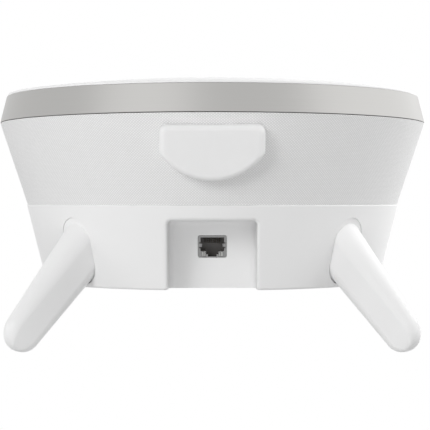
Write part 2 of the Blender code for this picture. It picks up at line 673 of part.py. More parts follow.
def leg_rings():
    """Rings of a leg, from the end of its tongue to its tip.

    x runs across the leg, y frontwards and z out of the socket, from the middle of its floor.
    """
    end_inset = GAP + TONGUE_CHAMFER
    tongue = stadium(SOCKET_WIDTH - 2 * GAP, SOCKET_HEIGHT - 2 * GAP)
    narrow = stadium(SOCKET_WIDTH - 2 * end_inset, SOCKET_HEIGHT - 2 * end_inset)
    root_inset = GAP + COLLAR_STEP
    root = stadium(SOCKET_WIDTH - 2 * root_inset, SOCKET_HEIGHT - 2 * root_inset - COLLAR_SHELF)
    low = base_radius(SOCKET_RIM) - COLLAR_SETBACK - SOCKET_FLOOR
    high = base_radius(SOCKET_TOP) - COLLAR_SETBACK - SOCKET_FLOOR

    def on_collar(x, y):
        return Vector((x, y, (low + high) / 2 + (high - low) * y / SOCKET_HEIGHT))

    tip_centre = Vector((0.0, -LEG_DROP, SOCKET_DEPTH + LEG_REACH))
    along = (tip_centre - on_collar(0.0, 0.0)).normalized()
    across = Vector((1.0, 0.0, 0.0))
    above = along.cross(across)
    tip = stadium(LEG_TIP_WIDTH, LEG_TIP_HEIGHT)
    tip_round = LEG_TIP_HEIGHT / 2

    rings = [[Vector((x, y, GAP)) for x, y in narrow], [Vector((x, y, end_inset)) for x, y in tongue]]
    rings.append([on_collar(x, y) for x, y in tongue])
    starts = [on_collar(x, y - COLLAR_SHELF / 2) for x, y in root]
    ends = [tip_centre + across * x + above * y for x, y in tip]
    for step in range(LEG_STEPS + 1):
        share = step / LEG_STEPS
        rings.append([start.lerp(end, share) for start, end in zip(starts, ends)])
    for step in range(1, TIP_STEPS):
        turn = math.pi / 2 * step / TIP_STEPS
        middle = tip_centre + along * tip_round * math.sin(turn)
        narrowing = math.sqrt(math.cos(turn))
        rings.append([middle + across * x * narrowing + above * y * math.cos(turn) for x, y in tip])
    rings.append([tip_centre + along * tip_round])
    return rings


def make_legs():
    """Two equal legs plugged into the base; each leg's origin is on the line it slides along."""
    for side, angle in socket_angles():
        seat = polar(SOCKET_FLOOR, angle, SOCKET_MIDDLE)
        add_piece(f"leg_{side}", lofted(leg_rings()), "leg_plastic", seat, outward(angle))


def stand_distance():
    """Distance from the body's axis, at its rear rim, to the floor plane under the leg tips."""
    tilt = math.radians(FACE_TILT)
    down = Vector((0.0, -math.cos(tilt), -math.sin(tilt)))
    angle = math.radians(SOCKET_ANGLE)
    turn = Euler(outward(angle)).to_matrix()
    seat = polar(SOCKET_FLOOR, angle, SOCKET_MIDDLE)
    return max(down.dot(seat + turn @ point) for ring in leg_rings() for point in ring)


def foot_outline(inset):
    """Foot outline drawn inwards by inset: square front, straight sides and an arched heel."""
    half = FOOT_WIDTH / 2 - inset
    rise = FOOT_LENGTH - FOOT_SIDE - inset
    radius = (half ** 2 + rise ** 2) / (2 * rise)
    sweep = math.asin(half / radius)
    heel = []
    for step in range(1, FOOT_HEEL_STEPS):
        turn = sweep * (1 - 2 * step / FOOT_HEEL_STEPS)
        heel.append((radius * math.sin(turn), inset + radius - FOOT_LENGTH - radius * math.cos(turn), 0))
    corner = FOOT_CORNER - inset / 2
    sides = [(-half, -FOOT_SIDE, FOOT_HEEL_BLEND), (-half, -inset, corner), (half, -inset, corner),
             (half, -FOOT_SIDE, FOOT_HEEL_BLEND)]
    return rounded(sides + heel)


def make_front_foot():
    """Foot under the front edge, trimmed to the fabric and level with the leg tips, with its screws."""
    tilt = math.radians(FACE_TILT)
    front = FABRIC_FRONT - FOOT_SETBACK
    floor = (stand_distance() + front * math.sin(tilt)) / math.cos(tilt)
    rings = [[Vector((a, b, -stand_distance())) for a, b in foot_outline(0.0)]]
    for step in range(ARC_STEPS + 1):
        turn = math.pi / 2 * step / ARC_STEPS
        inset = FOOT_EDGE * (1 - math.cos(turn))
        rings.append([Vector((a, b, FOOT_EDGE * (math.sin(turn) - 1))) for a, b in foot_outline(inset)])
    foot = add_piece("front_foot", lofted(rings), "foot_rubber", (0.0, -floor, front), outward(0.0, tilt))

    body = [(fabric_radius(0.0) + GAP, 0.0), (fabric_radius(DOME_FRONT) + GAP, DOME_FRONT)]
    combine(foot, [add_guide("foot_trim", stacked(body))])
    middle = front - FOOT_LENGTH / 2
    wall = upper_bore(middle) * math.cos(math.pi / FACETS) - GAP / math.cos(FABRIC_SLOPE)
    half_turn = math.asin(FOOT_SCREW_SPACING / 2 / wall)
    for side, angle in (("left", -half_turn), ("right", half_turn)):
        seat = polar(wall, angle, middle)
        rotation = outward(angle, FABRIC_SLOPE)
        screw(f"foot_screw_{side}", seat, rotation)
        combine(foot, [screw_hole(f"foot_hole_{side}", seat, rotation)])


# Network jack

def make_jack():
    """Shielded network jack: shield, insert, contacts and two light pipes."""
    nose_front = NOSE_REAR + NOSE_HEIGHT
    body = extruded([rectangle(JACK_WIDTH, JACK_REAR, JACK_REAR + JACK_HEIGHT)], JACK_BACK, JACK_FACE)
    shield = add_piece("jack_shield", body, "shield_metal", rotation=PORT_SIDE)
    nose_outline = rectangle(NOSE_WIDTH, NOSE_REAR, nose_front, NOSE_CORNER)
    nose = extruded([nose_outline], JACK_BACK + JACK_SHEET, NOSE_FACE)
    combine(shield, [add_guide("jack_nose", nose, rotation=PORT_SIDE)], "UNION")
    bore_width = NOSE_WIDTH - 2 * JACK_SHEET
    bore = rectangle(bore_width, NOSE_REAR + JACK_SHEET, nose_front - JACK_SHEET)
    hollow = extruded([bore], JACK_BACK + JACK_SHEET, NOSE_FACE - JACK_SHEET)
    combine(shield, [add_guide("jack_hollow", hollow, rotation=PORT_SIDE)])

    clear = JACK_SHEET + GAP
    width = NOSE_WIDTH - 2 * clear
    rear, front = NOSE_REAR + clear, nose_front - clear
    face = NOSE_FACE - clear
    block = extruded([rectangle(width, rear, front)], JACK_BACK + clear, face)
    insert = add_piece("jack_insert", block, "black_plastic", rotation=PORT_SIDE)
    plug_front = front - PLUG_CEILING
    plug_rear = plug_front - PLUG_HEIGHT
    latch_rear = plug_rear - LATCH_HEIGHT
    half_plug, half_latch, half_neck = PLUG_WIDTH / 2, LATCH_WIDTH / 2, LATCH_NECK_WIDTH / 2
    below = rear - GAP / 2
    right = [(half_neck, below), (half_neck, latch_rear), (half_latch, latch_rear), (half_latch, plug_rear),
             (half_plug, plug_rear), (half_plug, plug_front)]
    left = [(-a, b) for a, b in reversed(right)]
    mouth = NOSE_FACE + GAP
    plug = extruded([right + left], face - PLUG_DEPTH, mouth)
    cavity = add_guide("plug_cavity", plug, rotation=PORT_SIDE)
    combine(insert, [cavity])
    combine(shield, [cavity])

    light_x = (half_latch + width / 2) / 2
    light_z = (rear + plug_rear) / 2
    pocket = rectangle(LIGHT_WIDTH + 2 * GAP, -LIGHT_HEIGHT / 2 - GAP, LIGHT_HEIGHT / 2 + GAP)
    pipe = rectangle(LIGHT_WIDTH, -LIGHT_HEIGHT / 2, LIGHT_HEIGHT / 2)
    for side, x in (("left", -light_x), ("right", light_x)):
        middle = (x, 0.0, light_z)
        hole = extruded([pocket], face - LIGHT_LENGTH - GAP, mouth)
        light_pocket = add_guide(f"light_pocket_{side}", hole, middle, PORT_SIDE)
        combine(insert, [light_pocket])
        combine(shield, [light_pocket])
        light = extruded([pipe], face - LIGHT_LENGTH, NOSE_FACE)
        add_piece(f"jack_light_{side}", light, "light_pipe", middle, PORT_SIDE)

    ceiling = plug_front - GAP
    tip = ceiling - CONTACT_DROP
    start = face - GAP - CONTACT_SIZE
    end = start - CONTACT_LENGTH
    bar = [(start, ceiling), (start, ceiling - CONTACT_SIZE), (end, tip - CONTACT_SIZE), (end, tip)]
    edgewise = (math.pi / 2, 0.0, -math.pi / 2)
    for number in range(CONTACT_COUNT):
        x = (number - (CONTACT_COUNT - 1) / 2) * CONTACT_PITCH
        contact = extruded([bar], x - CONTACT_SIZE / 2, x + CONTACT_SIZE / 2)
        add_piece(f"jack_contact_{number + 1}", contact, "gold_contact", rotation=edgewise)


# Main board

def board_part(name, size, centre, material):
    """Block of a size (width, length, height) soldered to the front of the board."""
    width, length, height = size
    outline = rectangle(width, -length / 2, length / 2)
    rear = BOARD_FRONT + GAP
    return add_piece(name, extruded([outline], rear, rear + height), material, (*centre, 0.0))


def make_board():
    """Main board with its processor, memory, heat sink, radios and power parts."""
    chord = math.acos(BOARD_PORT_EDGE / BOARD_RADIUS)
    sweep = 2 * (math.pi - chord)
    edge = [polar(BOARD_RADIUS, chord + sweep * step / BOARD_STEPS).xy for step in range(BOARD_STEPS + 1)]
    board = add_piece("main_board", extruded([edge], BOARD_REAR, BOARD_FRONT), "circuit_board")
    combine(board, [bpy.data.objects[f"post_hole_{number}"] for number in range(1, len(post_places()) + 1)])

    processor_size = (PROCESSOR_SIZE, PROCESSOR_SIZE, PROCESSOR_HEIGHT)
    board_part("processor", processor_size, (0.0, SINK_OFFSET), "black_plastic")
    pad_rear = BOARD_FRONT + GAP + PROCESSOR_HEIGHT + GAP
    pad_outline = rectangle(PAD_SIZE, SINK_OFFSET - PAD_SIZE / 2, SINK_OFFSET + PAD_SIZE / 2)
    add_piece("thermal_pad", extruded([pad_outline], pad_rear, pad_rear + PAD_HEIGHT), "thermal_rubber")
    make_heat_sink(pad_rear + PAD_HEIGHT + GAP)

    can_x = SINK_WIDTH / 2 + CAN_SPACING + CAN_WIDTH / 2
    memory_x = (MEMORY_WIDTH + MEMORY_SPACING) / 2
    memory_y = SINK_OFFSET + SINK_LENGTH / 2 + CAN_SPACING + MEMORY_LENGTH / 2
    power_x = JACK_WIDTH / 2 + POWER_SPACING + TRANSFORMER_WIDTH / 2
    for side, sign in (("left", -1), ("right", 1)):
        can_size = (CAN_WIDTH, CAN_LENGTH, CAN_HEIGHT)
        board_part(f"radio_can_{side}", can_size, (sign * can_x, SINK_OFFSET), "shield_metal")
        chip_size = (MEMORY_WIDTH, MEMORY_LENGTH, MEMORY_HEIGHT)
        board_part(f"memory_chip_{side}", chip_size, (sign * memory_x, memory_y), "black_plastic")
    power_y = -JACK_BACK + TRANSFORMER_LENGTH / 2
    transformer_size = (TRANSFORMER_WIDTH, TRANSFORMER_LENGTH, TRANSFORMER_HEIGHT)
    board_part("power_transformer", transformer_size, (-power_x, power_y), "ferrite")
    rear = BOARD_FRONT + GAP
    can = extruded([circle(CAPACITOR_RADIUS, 2 * SMALL_FACETS)], rear, rear + CAPACITOR_HEIGHT)
    add_piece("power_capacitor", can, "capacitor_sleeve", (power_x, power_y, 0.0))


def make_heat_sink(rear):
    """Comb of fins on a flat base, drawn from the port side."""
    half = SINK_WIDTH / 2
    pitch = (SINK_WIDTH - FIN_THICKNESS) / (FIN_COUNT - 1)
    outline = [(-half, rear), (half, rear)]
    for fin in reversed(range(FIN_COUNT)):
        left = -half + fin * pitch
        right = left + FIN_THICKNESS
        foot, top = rear + SINK_BASE, rear + SINK_HEIGHT
        outline += [(right, foot), (right, top), (left, top), (left, foot)]
    outline = outline[:2] + outline[3:-1]
    comb = extruded([outline], -SINK_LENGTH / 2, SINK_LENGTH / 2)
    add_piece("heat_sink", comb, "cast_aluminium", (0.0, SINK_OFFSET, 0.0), PORT_SIDE)


# Antennas and status light

def frame_screw_angles():
    """Angles of the antenna frame's screws, midway between the antennas."""
    return [2 * math.pi * step / ANTENNA_COUNT for step in range(ANTENNA_COUNT)]


def make_antenna_frame():
    """Ring on the upper shell's ledge that carries the antennas and the light board."""
    outer, bore = shell_circle(FRAME_RADIUS), shell_circle(FRAME_BORE)
    frame = add_piece("antenna_frame", extruded([outer], FRAME_REAR, FRAME_FRONT), "inner_plastic")
    combine(frame, [add_guide("frame_bore", extruded([bore], FRAME_REAR - GAP, FRAME_FRONT + GAP))])
    for number, angle in enumerate(frame_screw_angles(), 1):
        combine(frame, [bpy.data.objects[f"frame_hole_{number}"]])
        screw(f"frame_screw_{number}", polar(FRAME_SCREW_CIRCLE, angle, FRAME_FRONT + GAP), (math.pi, 0, 0))


def make_antennas():
    """Stamped antennas standing on the frame, each with its cable from the board."""
    half = ANTENNA_WIDTH / 2
    outline = [(-half, 0.0), (half, 0.0), (half, ANTENNA_ARM), (ANTENNA_ARM - half, ANTENNA_ARM),
               (ANTENNA_ARM - half, ANTENNA_HEIGHT - ANTENNA_ARM), (half, ANTENNA_HEIGHT - ANTENNA_ARM),
               (half, ANTENNA_HEIGHT), (-half, ANTENNA_HEIGHT)]
    for number in range(ANTENNA_COUNT):
        angle = 2 * math.pi * (number + 0.5) / ANTENNA_COUNT
        plate = extruded([outline], -ANTENNA_THICKNESS / 2, ANTENNA_THICKNESS / 2)
        foot = polar(ANTENNA_CIRCLE, angle, FRAME_FRONT + GAP)
        add_piece(f"antenna_{number + 1}", plate, "antenna_metal", foot, outward(angle))
        make_cable(f"antenna_cable_{number + 1}", angle)


def make_cable(name, angle):
    """Thin cable from beside a radio can, through the frame's opening, to the foot of an antenna."""
    sideways = math.copysign(1.0, math.sin(angle))
    upwards = -math.copysign(1.0, math.cos(angle))
    board_x = SINK_WIDTH / 2 + CAN_SPACING + CAN_WIDTH / 2
    board_y = CAN_LENGTH / 2 + CAN_SPACING
    start = Vector((sideways * board_x, SINK_OFFSET + upwards * board_y, BOARD_FRONT + GAP))
    rest = FRAME_FRONT + GAP + CABLE_RADIUS
    inside = FRAME_BORE - CABLE_CLEARANCE
    middle = (start + polar(inside, angle)) / 2
    route = [start, start + Vector((0.0, 0.0, CABLE_RISE)),
             Vector((middle.x, middle.y, (BOARD_FRONT + FRAME_REAR) / 2)),
             polar(inside, angle, FRAME_REAR),
             polar(FRAME_BORE + CABLE_LANDING, angle, rest + CABLE_ARCH_HEIGHT),
             polar((FRAME_BORE + ANTENNA_CIRCLE) / 2, angle, rest),
             polar(ANTENNA_CIRCLE - ANTENNA_THICKNESS / 2 - GAP, angle, rest)]
    curve = bpy.data.curves.new(name, "CURVE")
    curve.dimensions = "3D"
    curve.bevel_depth = CABLE_RADIUS
    curve.bevel_resolution = CABLE_STEPS
    curve.use_fill_caps = True
    spline = curve.splines.new("POLY")
    points = smooth_route(route)
    spline.points.add(len(points) - 1)
    for point, spot in zip(spline.points, points):
        point.co = (*spot, 1.0)
    curve.materials.append(bpy.data.materials["cable_jacket"])
    place(bpy.data.objects.new(name, curve), (0, 0, 0), (0, 0, 0))


def smooth_route(route):
    """Points of a smooth curve through a route, evenly shared among its spans."""
    padded = [2 * route[0] - route[1], *route, 2 * route[-1] - route[-2]]
    spans = len(route) - 1
    points = []
    for step in range(CABLE_POINTS + 1):
        where = spans * step / CABLE_POINTS
        span = min(int(where), spans - 1)
        t = where - span
        before, start, end, after = padded[span:span + 4]
        slope_in, slope_out = (end - before) / 2, (after - start) / 2
        points.append(start * (2 * t ** 3 - 3 * t ** 2 + 1) + slope_in * (t ** 3 - 2 * t ** 2 + t)
                      + end * (3 * t ** 2 - 2 * t ** 3) + slope_out * (t ** 3 - t ** 2))
    return points


def make_status_light():
    """Small board on the antenna frame and the light pipe from it to the face."""
    rear = FRAME_FRONT + GAP
    front = rear + LIGHT_BOARD_THICKNESS
    outline = rectangle(LIGHT_BOARD_WIDTH, -LIGHT_BOARD_LENGTH / 2, LIGHT_BOARD_LENGTH / 2)
    spot = (0.0, -STATUS_OFFSET, 0.0)
    add_piece("light_board", extruded([outline], rear, front), "circuit_board", spot)
    top = dome_height(STATUS_OFFSET + STATUS_RADIUS) - STATUS_SINK
    add_piece("status_lens", extruded([circle(STATUS_RADIUS)], front + GAP, top), "light_pipe", spot)


# Assembly

def make_finishes():
    """Materials of the pieces, with colours in linear light."""
    finish("cover_plastic", (0.80, 0.80, 0.79), 0.40)
    finish("satin_metal", (0.52, 0.52, 0.53), 0.32, 1.0)
    finish("woven_fabric", (0.66, 0.66, 0.65), 0.90)
    finish("base_plastic", (0.72, 0.72, 0.71), 0.48)
    finish("inner_plastic", (0.30, 0.30, 0.31), 0.60)
    finish("leg_plastic", (0.76, 0.76, 0.75), 0.45)
    finish("foot_rubber", (0.74, 0.74, 0.73), 0.60)
    finish("button_plastic", (0.55, 0.55, 0.55), 0.45)
    finish("shield_metal", (0.50, 0.50, 0.50), 0.35, 1.0)
    finish("black_plastic", (0.02, 0.02, 0.02), 0.50)
    finish("gold_contact", (0.80, 0.58, 0.22), 0.25, 1.0)
    finish("light_pipe", (0.60, 0.62, 0.60), 0.20)
    finish("circuit_board", (0.02, 0.12, 0.06), 0.45)
    finish("cast_aluminium", (0.60, 0.60, 0.61), 0.45, 1.0)
    finish("thermal_rubber", (0.35, 0.42, 0.50), 0.80)
    finish("ferrite", (0.05, 0.05, 0.05), 0.70)
    finish("capacitor_sleeve", (0.03, 0.03, 0.05), 0.40)
    finish("antenna_metal", (0.62, 0.60, 0.55), 0.30, 1.0)
    finish("cable_jacket", (0.08, 0.08, 0.08), 0.50)
    finish("screw_steel", (0.45, 0.45, 0.46), 0.35, 1.0)


def settle_on_floor(frame):
    """Leans the body back and moves it so that it stands on z = 0, centred over the origin."""
    frame.rotation_euler = (math.radians(90.0 - FACE_TILT), 0.0, 0.0)
    bpy.context.view_layer.update()
    depsgraph = bpy.context.evaluated_depsgraph_get()
    corners = []
    for item in bpy.data.objects:
        if item.type == "EMPTY" or item.hide_render:
            continue
        solid = item.evaluated_get(depsgraph)
        mesh = solid.to_mesh()
        corners += [item.matrix_world @ vert.co for vert in mesh.vertices]
        solid.to_mesh_clear()
    middle_y = (min(corner.y for corner in corners) + max(corner.y for corner in corners)) / 2
    frame.location = (0.0, -middle_y, -min(corner.z for corner in corners))


def main():
    """Builds every piece in the stand frame and stands the node on the floor."""
    for item in list(bpy.data.objects):
        bpy.data.objects.remove(item, do_unlink=True)
    frame = bpy.data.objects.new("stand_frame", None)
    bpy.context.collection.objects.link(frame)
    make_finishes()
    make_base_shell()
    make_rear_cover()
    make_pair_button()
    make_legs()
    make_front_foot()
    make_upper_shell()
    make_fabric_sleeve()
    make_trim_ring()
    make_front_cover()
    make_jack()
    make_board()
    make_antenna_frame()
    make_antennas()
    make_status_light()
    settle_on_floor(frame)


main()
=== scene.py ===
"""Looks of a round mesh wifi node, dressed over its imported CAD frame.

Each piece is shaped along the body's own axis, with the rear rim at z = 0, the domed face towards +z
and the network socket on the underside, towards -y. The stand then leans it back into the row frame,
so every finished object sits at the origin with its place in its mesh. Units are metres.
"""
from __future__ import annotations

import json
import logging
import math
from contextlib import contextmanager
from dataclasses import dataclass
from enum import Enum
from typing import Callable, Iterable, Iterator, Sequence

import bmesh
import bpy
from mathutils import Euler, Matrix, Vector

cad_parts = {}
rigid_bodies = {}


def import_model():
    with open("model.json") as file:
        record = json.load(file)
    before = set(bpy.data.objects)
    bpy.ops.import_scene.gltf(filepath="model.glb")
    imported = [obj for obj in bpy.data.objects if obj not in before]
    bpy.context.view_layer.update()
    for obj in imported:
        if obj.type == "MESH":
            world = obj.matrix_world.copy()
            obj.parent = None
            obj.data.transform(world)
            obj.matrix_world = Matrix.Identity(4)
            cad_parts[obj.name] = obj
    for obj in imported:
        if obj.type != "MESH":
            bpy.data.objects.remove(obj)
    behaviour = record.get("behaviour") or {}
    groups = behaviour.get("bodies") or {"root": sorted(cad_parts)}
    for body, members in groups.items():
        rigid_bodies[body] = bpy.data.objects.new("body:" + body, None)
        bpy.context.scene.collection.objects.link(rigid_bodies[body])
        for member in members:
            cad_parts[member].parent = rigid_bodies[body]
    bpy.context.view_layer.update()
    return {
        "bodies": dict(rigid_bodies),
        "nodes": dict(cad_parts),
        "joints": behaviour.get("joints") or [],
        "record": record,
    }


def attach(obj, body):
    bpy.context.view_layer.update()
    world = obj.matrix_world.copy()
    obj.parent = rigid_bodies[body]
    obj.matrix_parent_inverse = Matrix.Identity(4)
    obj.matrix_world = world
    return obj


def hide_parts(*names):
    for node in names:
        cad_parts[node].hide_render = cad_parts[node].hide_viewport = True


LOG = logging.getLogger("mesh_node")
MERGE_DISTANCE = 0.000001
CRISP_ANGLE = math.radians(35.0)
ROUNDED_ANGLE = math.radians(40.0)
QUARTER_TURN = math.pi / 2
FULL_TURN = 2 * math.pi

Colour = tuple[float, float, float]
Corner = tuple[float, float, float]
Outline = Sequence[Vector]
Solid = bmesh.types.BMesh
Piece = bpy.types.Object
Material = bpy.types.Material
Node = bpy.types.Node
NodeTree = bpy.types.NodeTree
NodeSocket = bpy.types.NodeSocket
Sockets = bpy.types.bpy_prop_collection


class Body(Enum):
    """Rigid bodies of the frame that pieces ride on."""

    HOUSING = "body"
    LEG_LEFT = "leg_left"
    LEG_RIGHT = "leg_right"
    BUTTON = "pair_button"


class Side(Enum):
    """The two sides of the node, with the sign of x on each."""

    LEFT = -1
    RIGHT = 1


class Cut(Enum):
    """Ways in which one solid changes another."""

    TAKE_AWAY = "DIFFERENCE"
    JOIN = "UNION"


@dataclass(frozen=True)
class Stand:
    """Lean and place of the body's own axes in the row frame."""

    lean: float = 80.0
    y: float = 0.051440
    z: float = 0.102656

    def matrix(self) -> Matrix:
        """Gives the transform from the body's own axes to the row frame."""
        turn = Matrix.Rotation(math.radians(self.lean), 4, "X")
        return Matrix.Translation((0.0, self.y, self.z)) @ turn


@dataclass(frozen=True)
class HullSizes:
    """Stations along the axis, radii and openings that neighbouring pieces share."""

    gap: float = 0.0003
    base_front: float = 0.0415
    base_rear_radius: float = 0.0904
    base_front_radius: float = 0.1009
    base_wall: float = 0.0020
    cloth_rear: float = 0.04145
    cloth_front: float = 0.0851
    cloth_rear_radius: float = 0.1004
    cloth_front_radius: float = 0.1150
    ring_rear: float = 0.0854
    ring_front: float = 0.0993
    ring_rear_radius: float = 0.1152
    ring_front_radius: float = 0.1117
    ring_bore: float = 0.1095
    recess_back: float = 0.0690
    recess_width: float = 0.0432
    recess_height: float = 0.0340
    nose_width: float = 0.0142
    nose_rear: float = 0.01535
    nose_front: float = 0.02625
    nose_corner: float = 0.0008
    nose_clear: float = 0.0001
    socket_angle: float = 45.0
    socket_width: float = 0.0206
    socket_height: float = 0.0335
    socket_depth: float = 0.0180
    socket_rim: float = 0.0016
    rear_inset: float = 0.0015
    rear_plate: float = 0.0025
    button_radius: float = 0.0040
    button_offset: float = 0.0520

    def base_radius(self, z: float) -> float:
        """Gives the base's outer radius at a height above the rear rim."""
        return self.base_rear_radius + (self.base_front_radius - self.base_rear_radius) * z / self.base_front

    def base_bore(self, z: float) -> float:
        """Gives the base's inner radius at a height above the rear rim."""
        return self.base_radius(z) - self.base_wall

    def cloth_radius(self, z: float) -> float:
        """Gives the sleeve's outer radius at a height above the rear rim."""
        share = (z - self.cloth_rear) / (self.cloth_front - self.cloth_rear)
        return self.cloth_rear_radius + (self.cloth_front_radius - self.cloth_rear_radius) * share

    def nose(self, inset: float) -> list[Vector]:
        """Draws the outline of the network socket's nose, drawn in by an inset."""
        corner = max(self.nose_corner - inset, 0.0)
        return rectangle(self.nose_width - 2 * inset, self.nose_rear + inset, self.nose_front - inset, corner)

    def socket_middle(self) -> float:
        """Gives the height of the middle of a leg socket."""
        return self.socket_rim + self.socket_height / 2

    def socket_floor(self) -> float:
        """Gives the distance of a leg socket's floor from the axis."""
        return self.base_radius(self.socket_middle()) - self.socket_depth

    def socket_turn(self, side: Side) -> float:
        """Gives the angle of a leg socket from the recess, in radians."""
        return side.value * math.radians(self.socket_angle)


STAND = Stand()
HULL = HullSizes()


def polar(radius: float, angle: float, z: float = 0.0) -> Vector:
    """Finds a point by its radius, its angle from the recess towards +x and its height."""
    return Vector((radius * math.sin(angle), -radius * math.cos(angle), z))


def outward(angle: float, lean: float = 0.0) -> Matrix:
    """Turns z outwards at an angle from the recess, and by a lean towards the rear."""
    return Euler((QUARTER_TURN + lean, 0.0, angle)).to_matrix().to_4x4()


UNDERSIDE = outward(0.0)


def full_turns(count: int, start: float = 0.0) -> list[float]:
    """Gives angles spread evenly round a circle, from a start that is counted in steps."""
    return [FULL_TURN * (step + start) / count for step in range(count)]


def quarter_turns(steps: int) -> list[float]:
    """Gives the angles from zero to a right angle in equal steps."""
    return [QUARTER_TURN * step / steps for step in range(steps + 1)]


def numbered(name: str, count: int) -> list[str]:
    """Gives the names of repeated CAD nodes, counted from 1."""
    return [f"{name}_{number}" for number in range(1, count + 1)]


def rounded(corners: Sequence[Corner], steps: int = 6) -> list[Vector]:
    """Draws an outline through corners, each turned by an arc of its own radius.

    Args:
        corners: Corners as (a, b, radius); a radius of 0 keeps the corner sharp.
        steps: Facets in each arc.

    Returns:
        The points of the closed outline.
    """
    points = []
    for index, (a, b, radius) in enumerate(corners):
        corner = Vector((a, b))
        if radius == 0:
            points.append(corner)
            continue
        before = (Vector(corners[index - 1][:2]) - corner).normalized()
        after = (Vector(corners[(index + 1) % len(corners)][:2]) - corner).normalized()
        half_angle = before.angle(after) / 2
        centre = corner + (before + after).normalized() * radius / math.sin(half_angle)
        start = corner + before * radius / math.tan(half_angle) - centre
        end = corner + after * radius / math.tan(half_angle) - centre
        turn = math.atan2(start.cross(end), start.dot(end))
        for step in range(steps + 1):
            angle = turn * step / steps
            points.append(centre + start * math.cos(angle) + Vector((-start.y, start.x)) * math.sin(angle))
    return points


def rectangle(width: float, low: float, high: float, corner: float = 0.0) -> list[Vector]:
    """Draws a rectangle centred on the first axis, from low to high on the second."""
    half = width / 2
    return rounded([(-half, low, corner), (half, low, corner), (half, high, corner), (-half, high, corner)])


def circle(radius: float, facets: int, centre: Sequence[float] = (0.0, 0.0)) -> list[Vector]:
    """Draws a round outline with flat facets."""
    return [Vector((centre[0] + radius * math.cos(turn), centre[1] + radius * math.sin(turn)))
            for turn in full_turns(facets, start=0.5)]


def stadium(width: float, height: float, points: int) -> list[Vector]:
    """Draws a slot with round ends, longer along its second axis.

    Args:
        width: Width of the slot.
        height: Length of the slot from end to end.
        points: Number of points, an even number.

    Returns:
        The points of the outline.
    """
    outline = []
    straight = (height - width) / 2
    for turn in full_turns(points, start=0.5):
        end = straight if math.sin(turn) > 0 else -straight
        outline.append(Vector((width / 2 * math.cos(turn), end + width / 2 * math.sin(turn))))
    return outline


def prism(outlines: Iterable[Outline], low: float, high: float) -> Solid:
    """Raises outlines into prisms along z.

    Args:
        outlines: Outlines drawn in x and y.
        low: Height of the lower faces.
        high: Height of the upper faces.

    Returns:
        The prisms as one mesh.
    """
    mesh = bmesh.new()
    for outline in outlines:
        face = mesh.faces.new([mesh.verts.new((a, b, low)) for a, b in outline])
        lifted = bmesh.ops.extrude_face_region(mesh, geom=[face])["geom"]
        raised = [item for item in lifted if isinstance(item, bmesh.types.BMVert)]
        bmesh.ops.translate(mesh, verts=raised, vec=(0.0, 0.0, high - low))
    bmesh.ops.recalc_face_normals(mesh, faces=mesh.faces)
    return mesh


def loft(rings: Sequence[Outline]) -> Solid:
    """Skins a stack of rings and closes both ends.

    Args:
        rings: Rings of equally many points; a last ring of one point is a pole.

    Returns:
        The closed mesh.
    """
    mesh = bmesh.new()
    loops = [[mesh.verts.new(point) for point in ring] for ring in rings]
    for lower, upper in zip(loops, loops[1:]):
        for index in range(len(lower)):
            after = (index + 1) % len(lower)
            if len(upper) == 1:
                mesh.faces.new((lower[index], lower[after], upper[0]))
            else:
                mesh.faces.new((lower[index], lower[after], upper[after], upper[index]))
    for end in (loops[0], loops[-1]):
        if len(end) > 1:
            mesh.faces.new(end)
    bmesh.ops.recalc_face_normals(mesh, faces=mesh.faces)
    return mesh


def stack(profile: Iterable[Sequence[float]], facets: int) -> Solid:
    """Makes a round solid over rings of (radius, height), with one flat face at each end."""
    turns = full_turns(facets)
    return loft([[Vector((r * math.cos(t), r * math.sin(t), z)) for t in turns] for r, z in profile])


def link_object(name: str, data: bpy.types.ID) -> Piece:
    """Makes an object of a mesh, a lamp or a camera and puts it into the scene.

    Args:
        name: Name of the object.
        data: What it shows.

    Returns:
        The new object at the origin.
    """
    made = bpy.data.objects.new(name, data)
    bpy.context.collection.objects.link(made)
    return made


def add_object(name: str, mesh: Solid, place: Matrix | None = None) -> Piece:
    """Makes an object of a mesh under construction, with its place in the mesh.

    Args:
        name: Name of the object.
        mesh: The mesh, which is freed.
        place: Transform that the points get first.

    Returns:
        The new object at the origin.
    """
    data = bpy.data.meshes.new(name)
    mesh.to_mesh(data)
    mesh.free()
    if place is not None:
        data.transform(place)
    return link_object(name, data)


def make_plain(piece: Piece) -> None:
    """Turns what an object's modifiers make into its own mesh.

    Args:
        piece: The object, which loses its modifiers.
    """
    bpy.context.view_layer.update()
    depsgraph = bpy.context.evaluated_depsgraph_get()
    made = bpy.data.meshes.new_from_object(piece.evaluated_get(depsgraph), depsgraph=depsgraph)
    piece.modifiers.clear()
    old, piece.data = piece.data, made
    made.name = piece.name
    bpy.data.meshes.remove(old)


@contextmanager
def editing(piece: Piece) -> Iterator[Solid]:
    """Opens a piece's mesh with its doubled points merged, and puts it back after the edits.

    Args:
        piece: The piece whose mesh changes.

    Yields:
        The open mesh.
    """
    mesh = bmesh.new()
    mesh.from_mesh(piece.data)
    bmesh.ops.remove_doubles(mesh, verts=mesh.verts, dist=MERGE_DISTANCE)
    yield mesh
    mesh.to_mesh(piece.data)
    mesh.free()


def weld(piece: Piece, turn_out: bool = False) -> None:
    """Merges doubled points and drops faces with no area.

    Args:
        piece: The object whose mesh changes.
        turn_out: True if its faces still have to be turned outwards.
    """
    with editing(piece) as mesh:
        bmesh.ops.dissolve_degenerate(mesh, edges=mesh.edges, dist=MERGE_DISTANCE)
        if turn_out:
            bmesh.ops.recalc_face_normals(mesh, faces=mesh.faces)


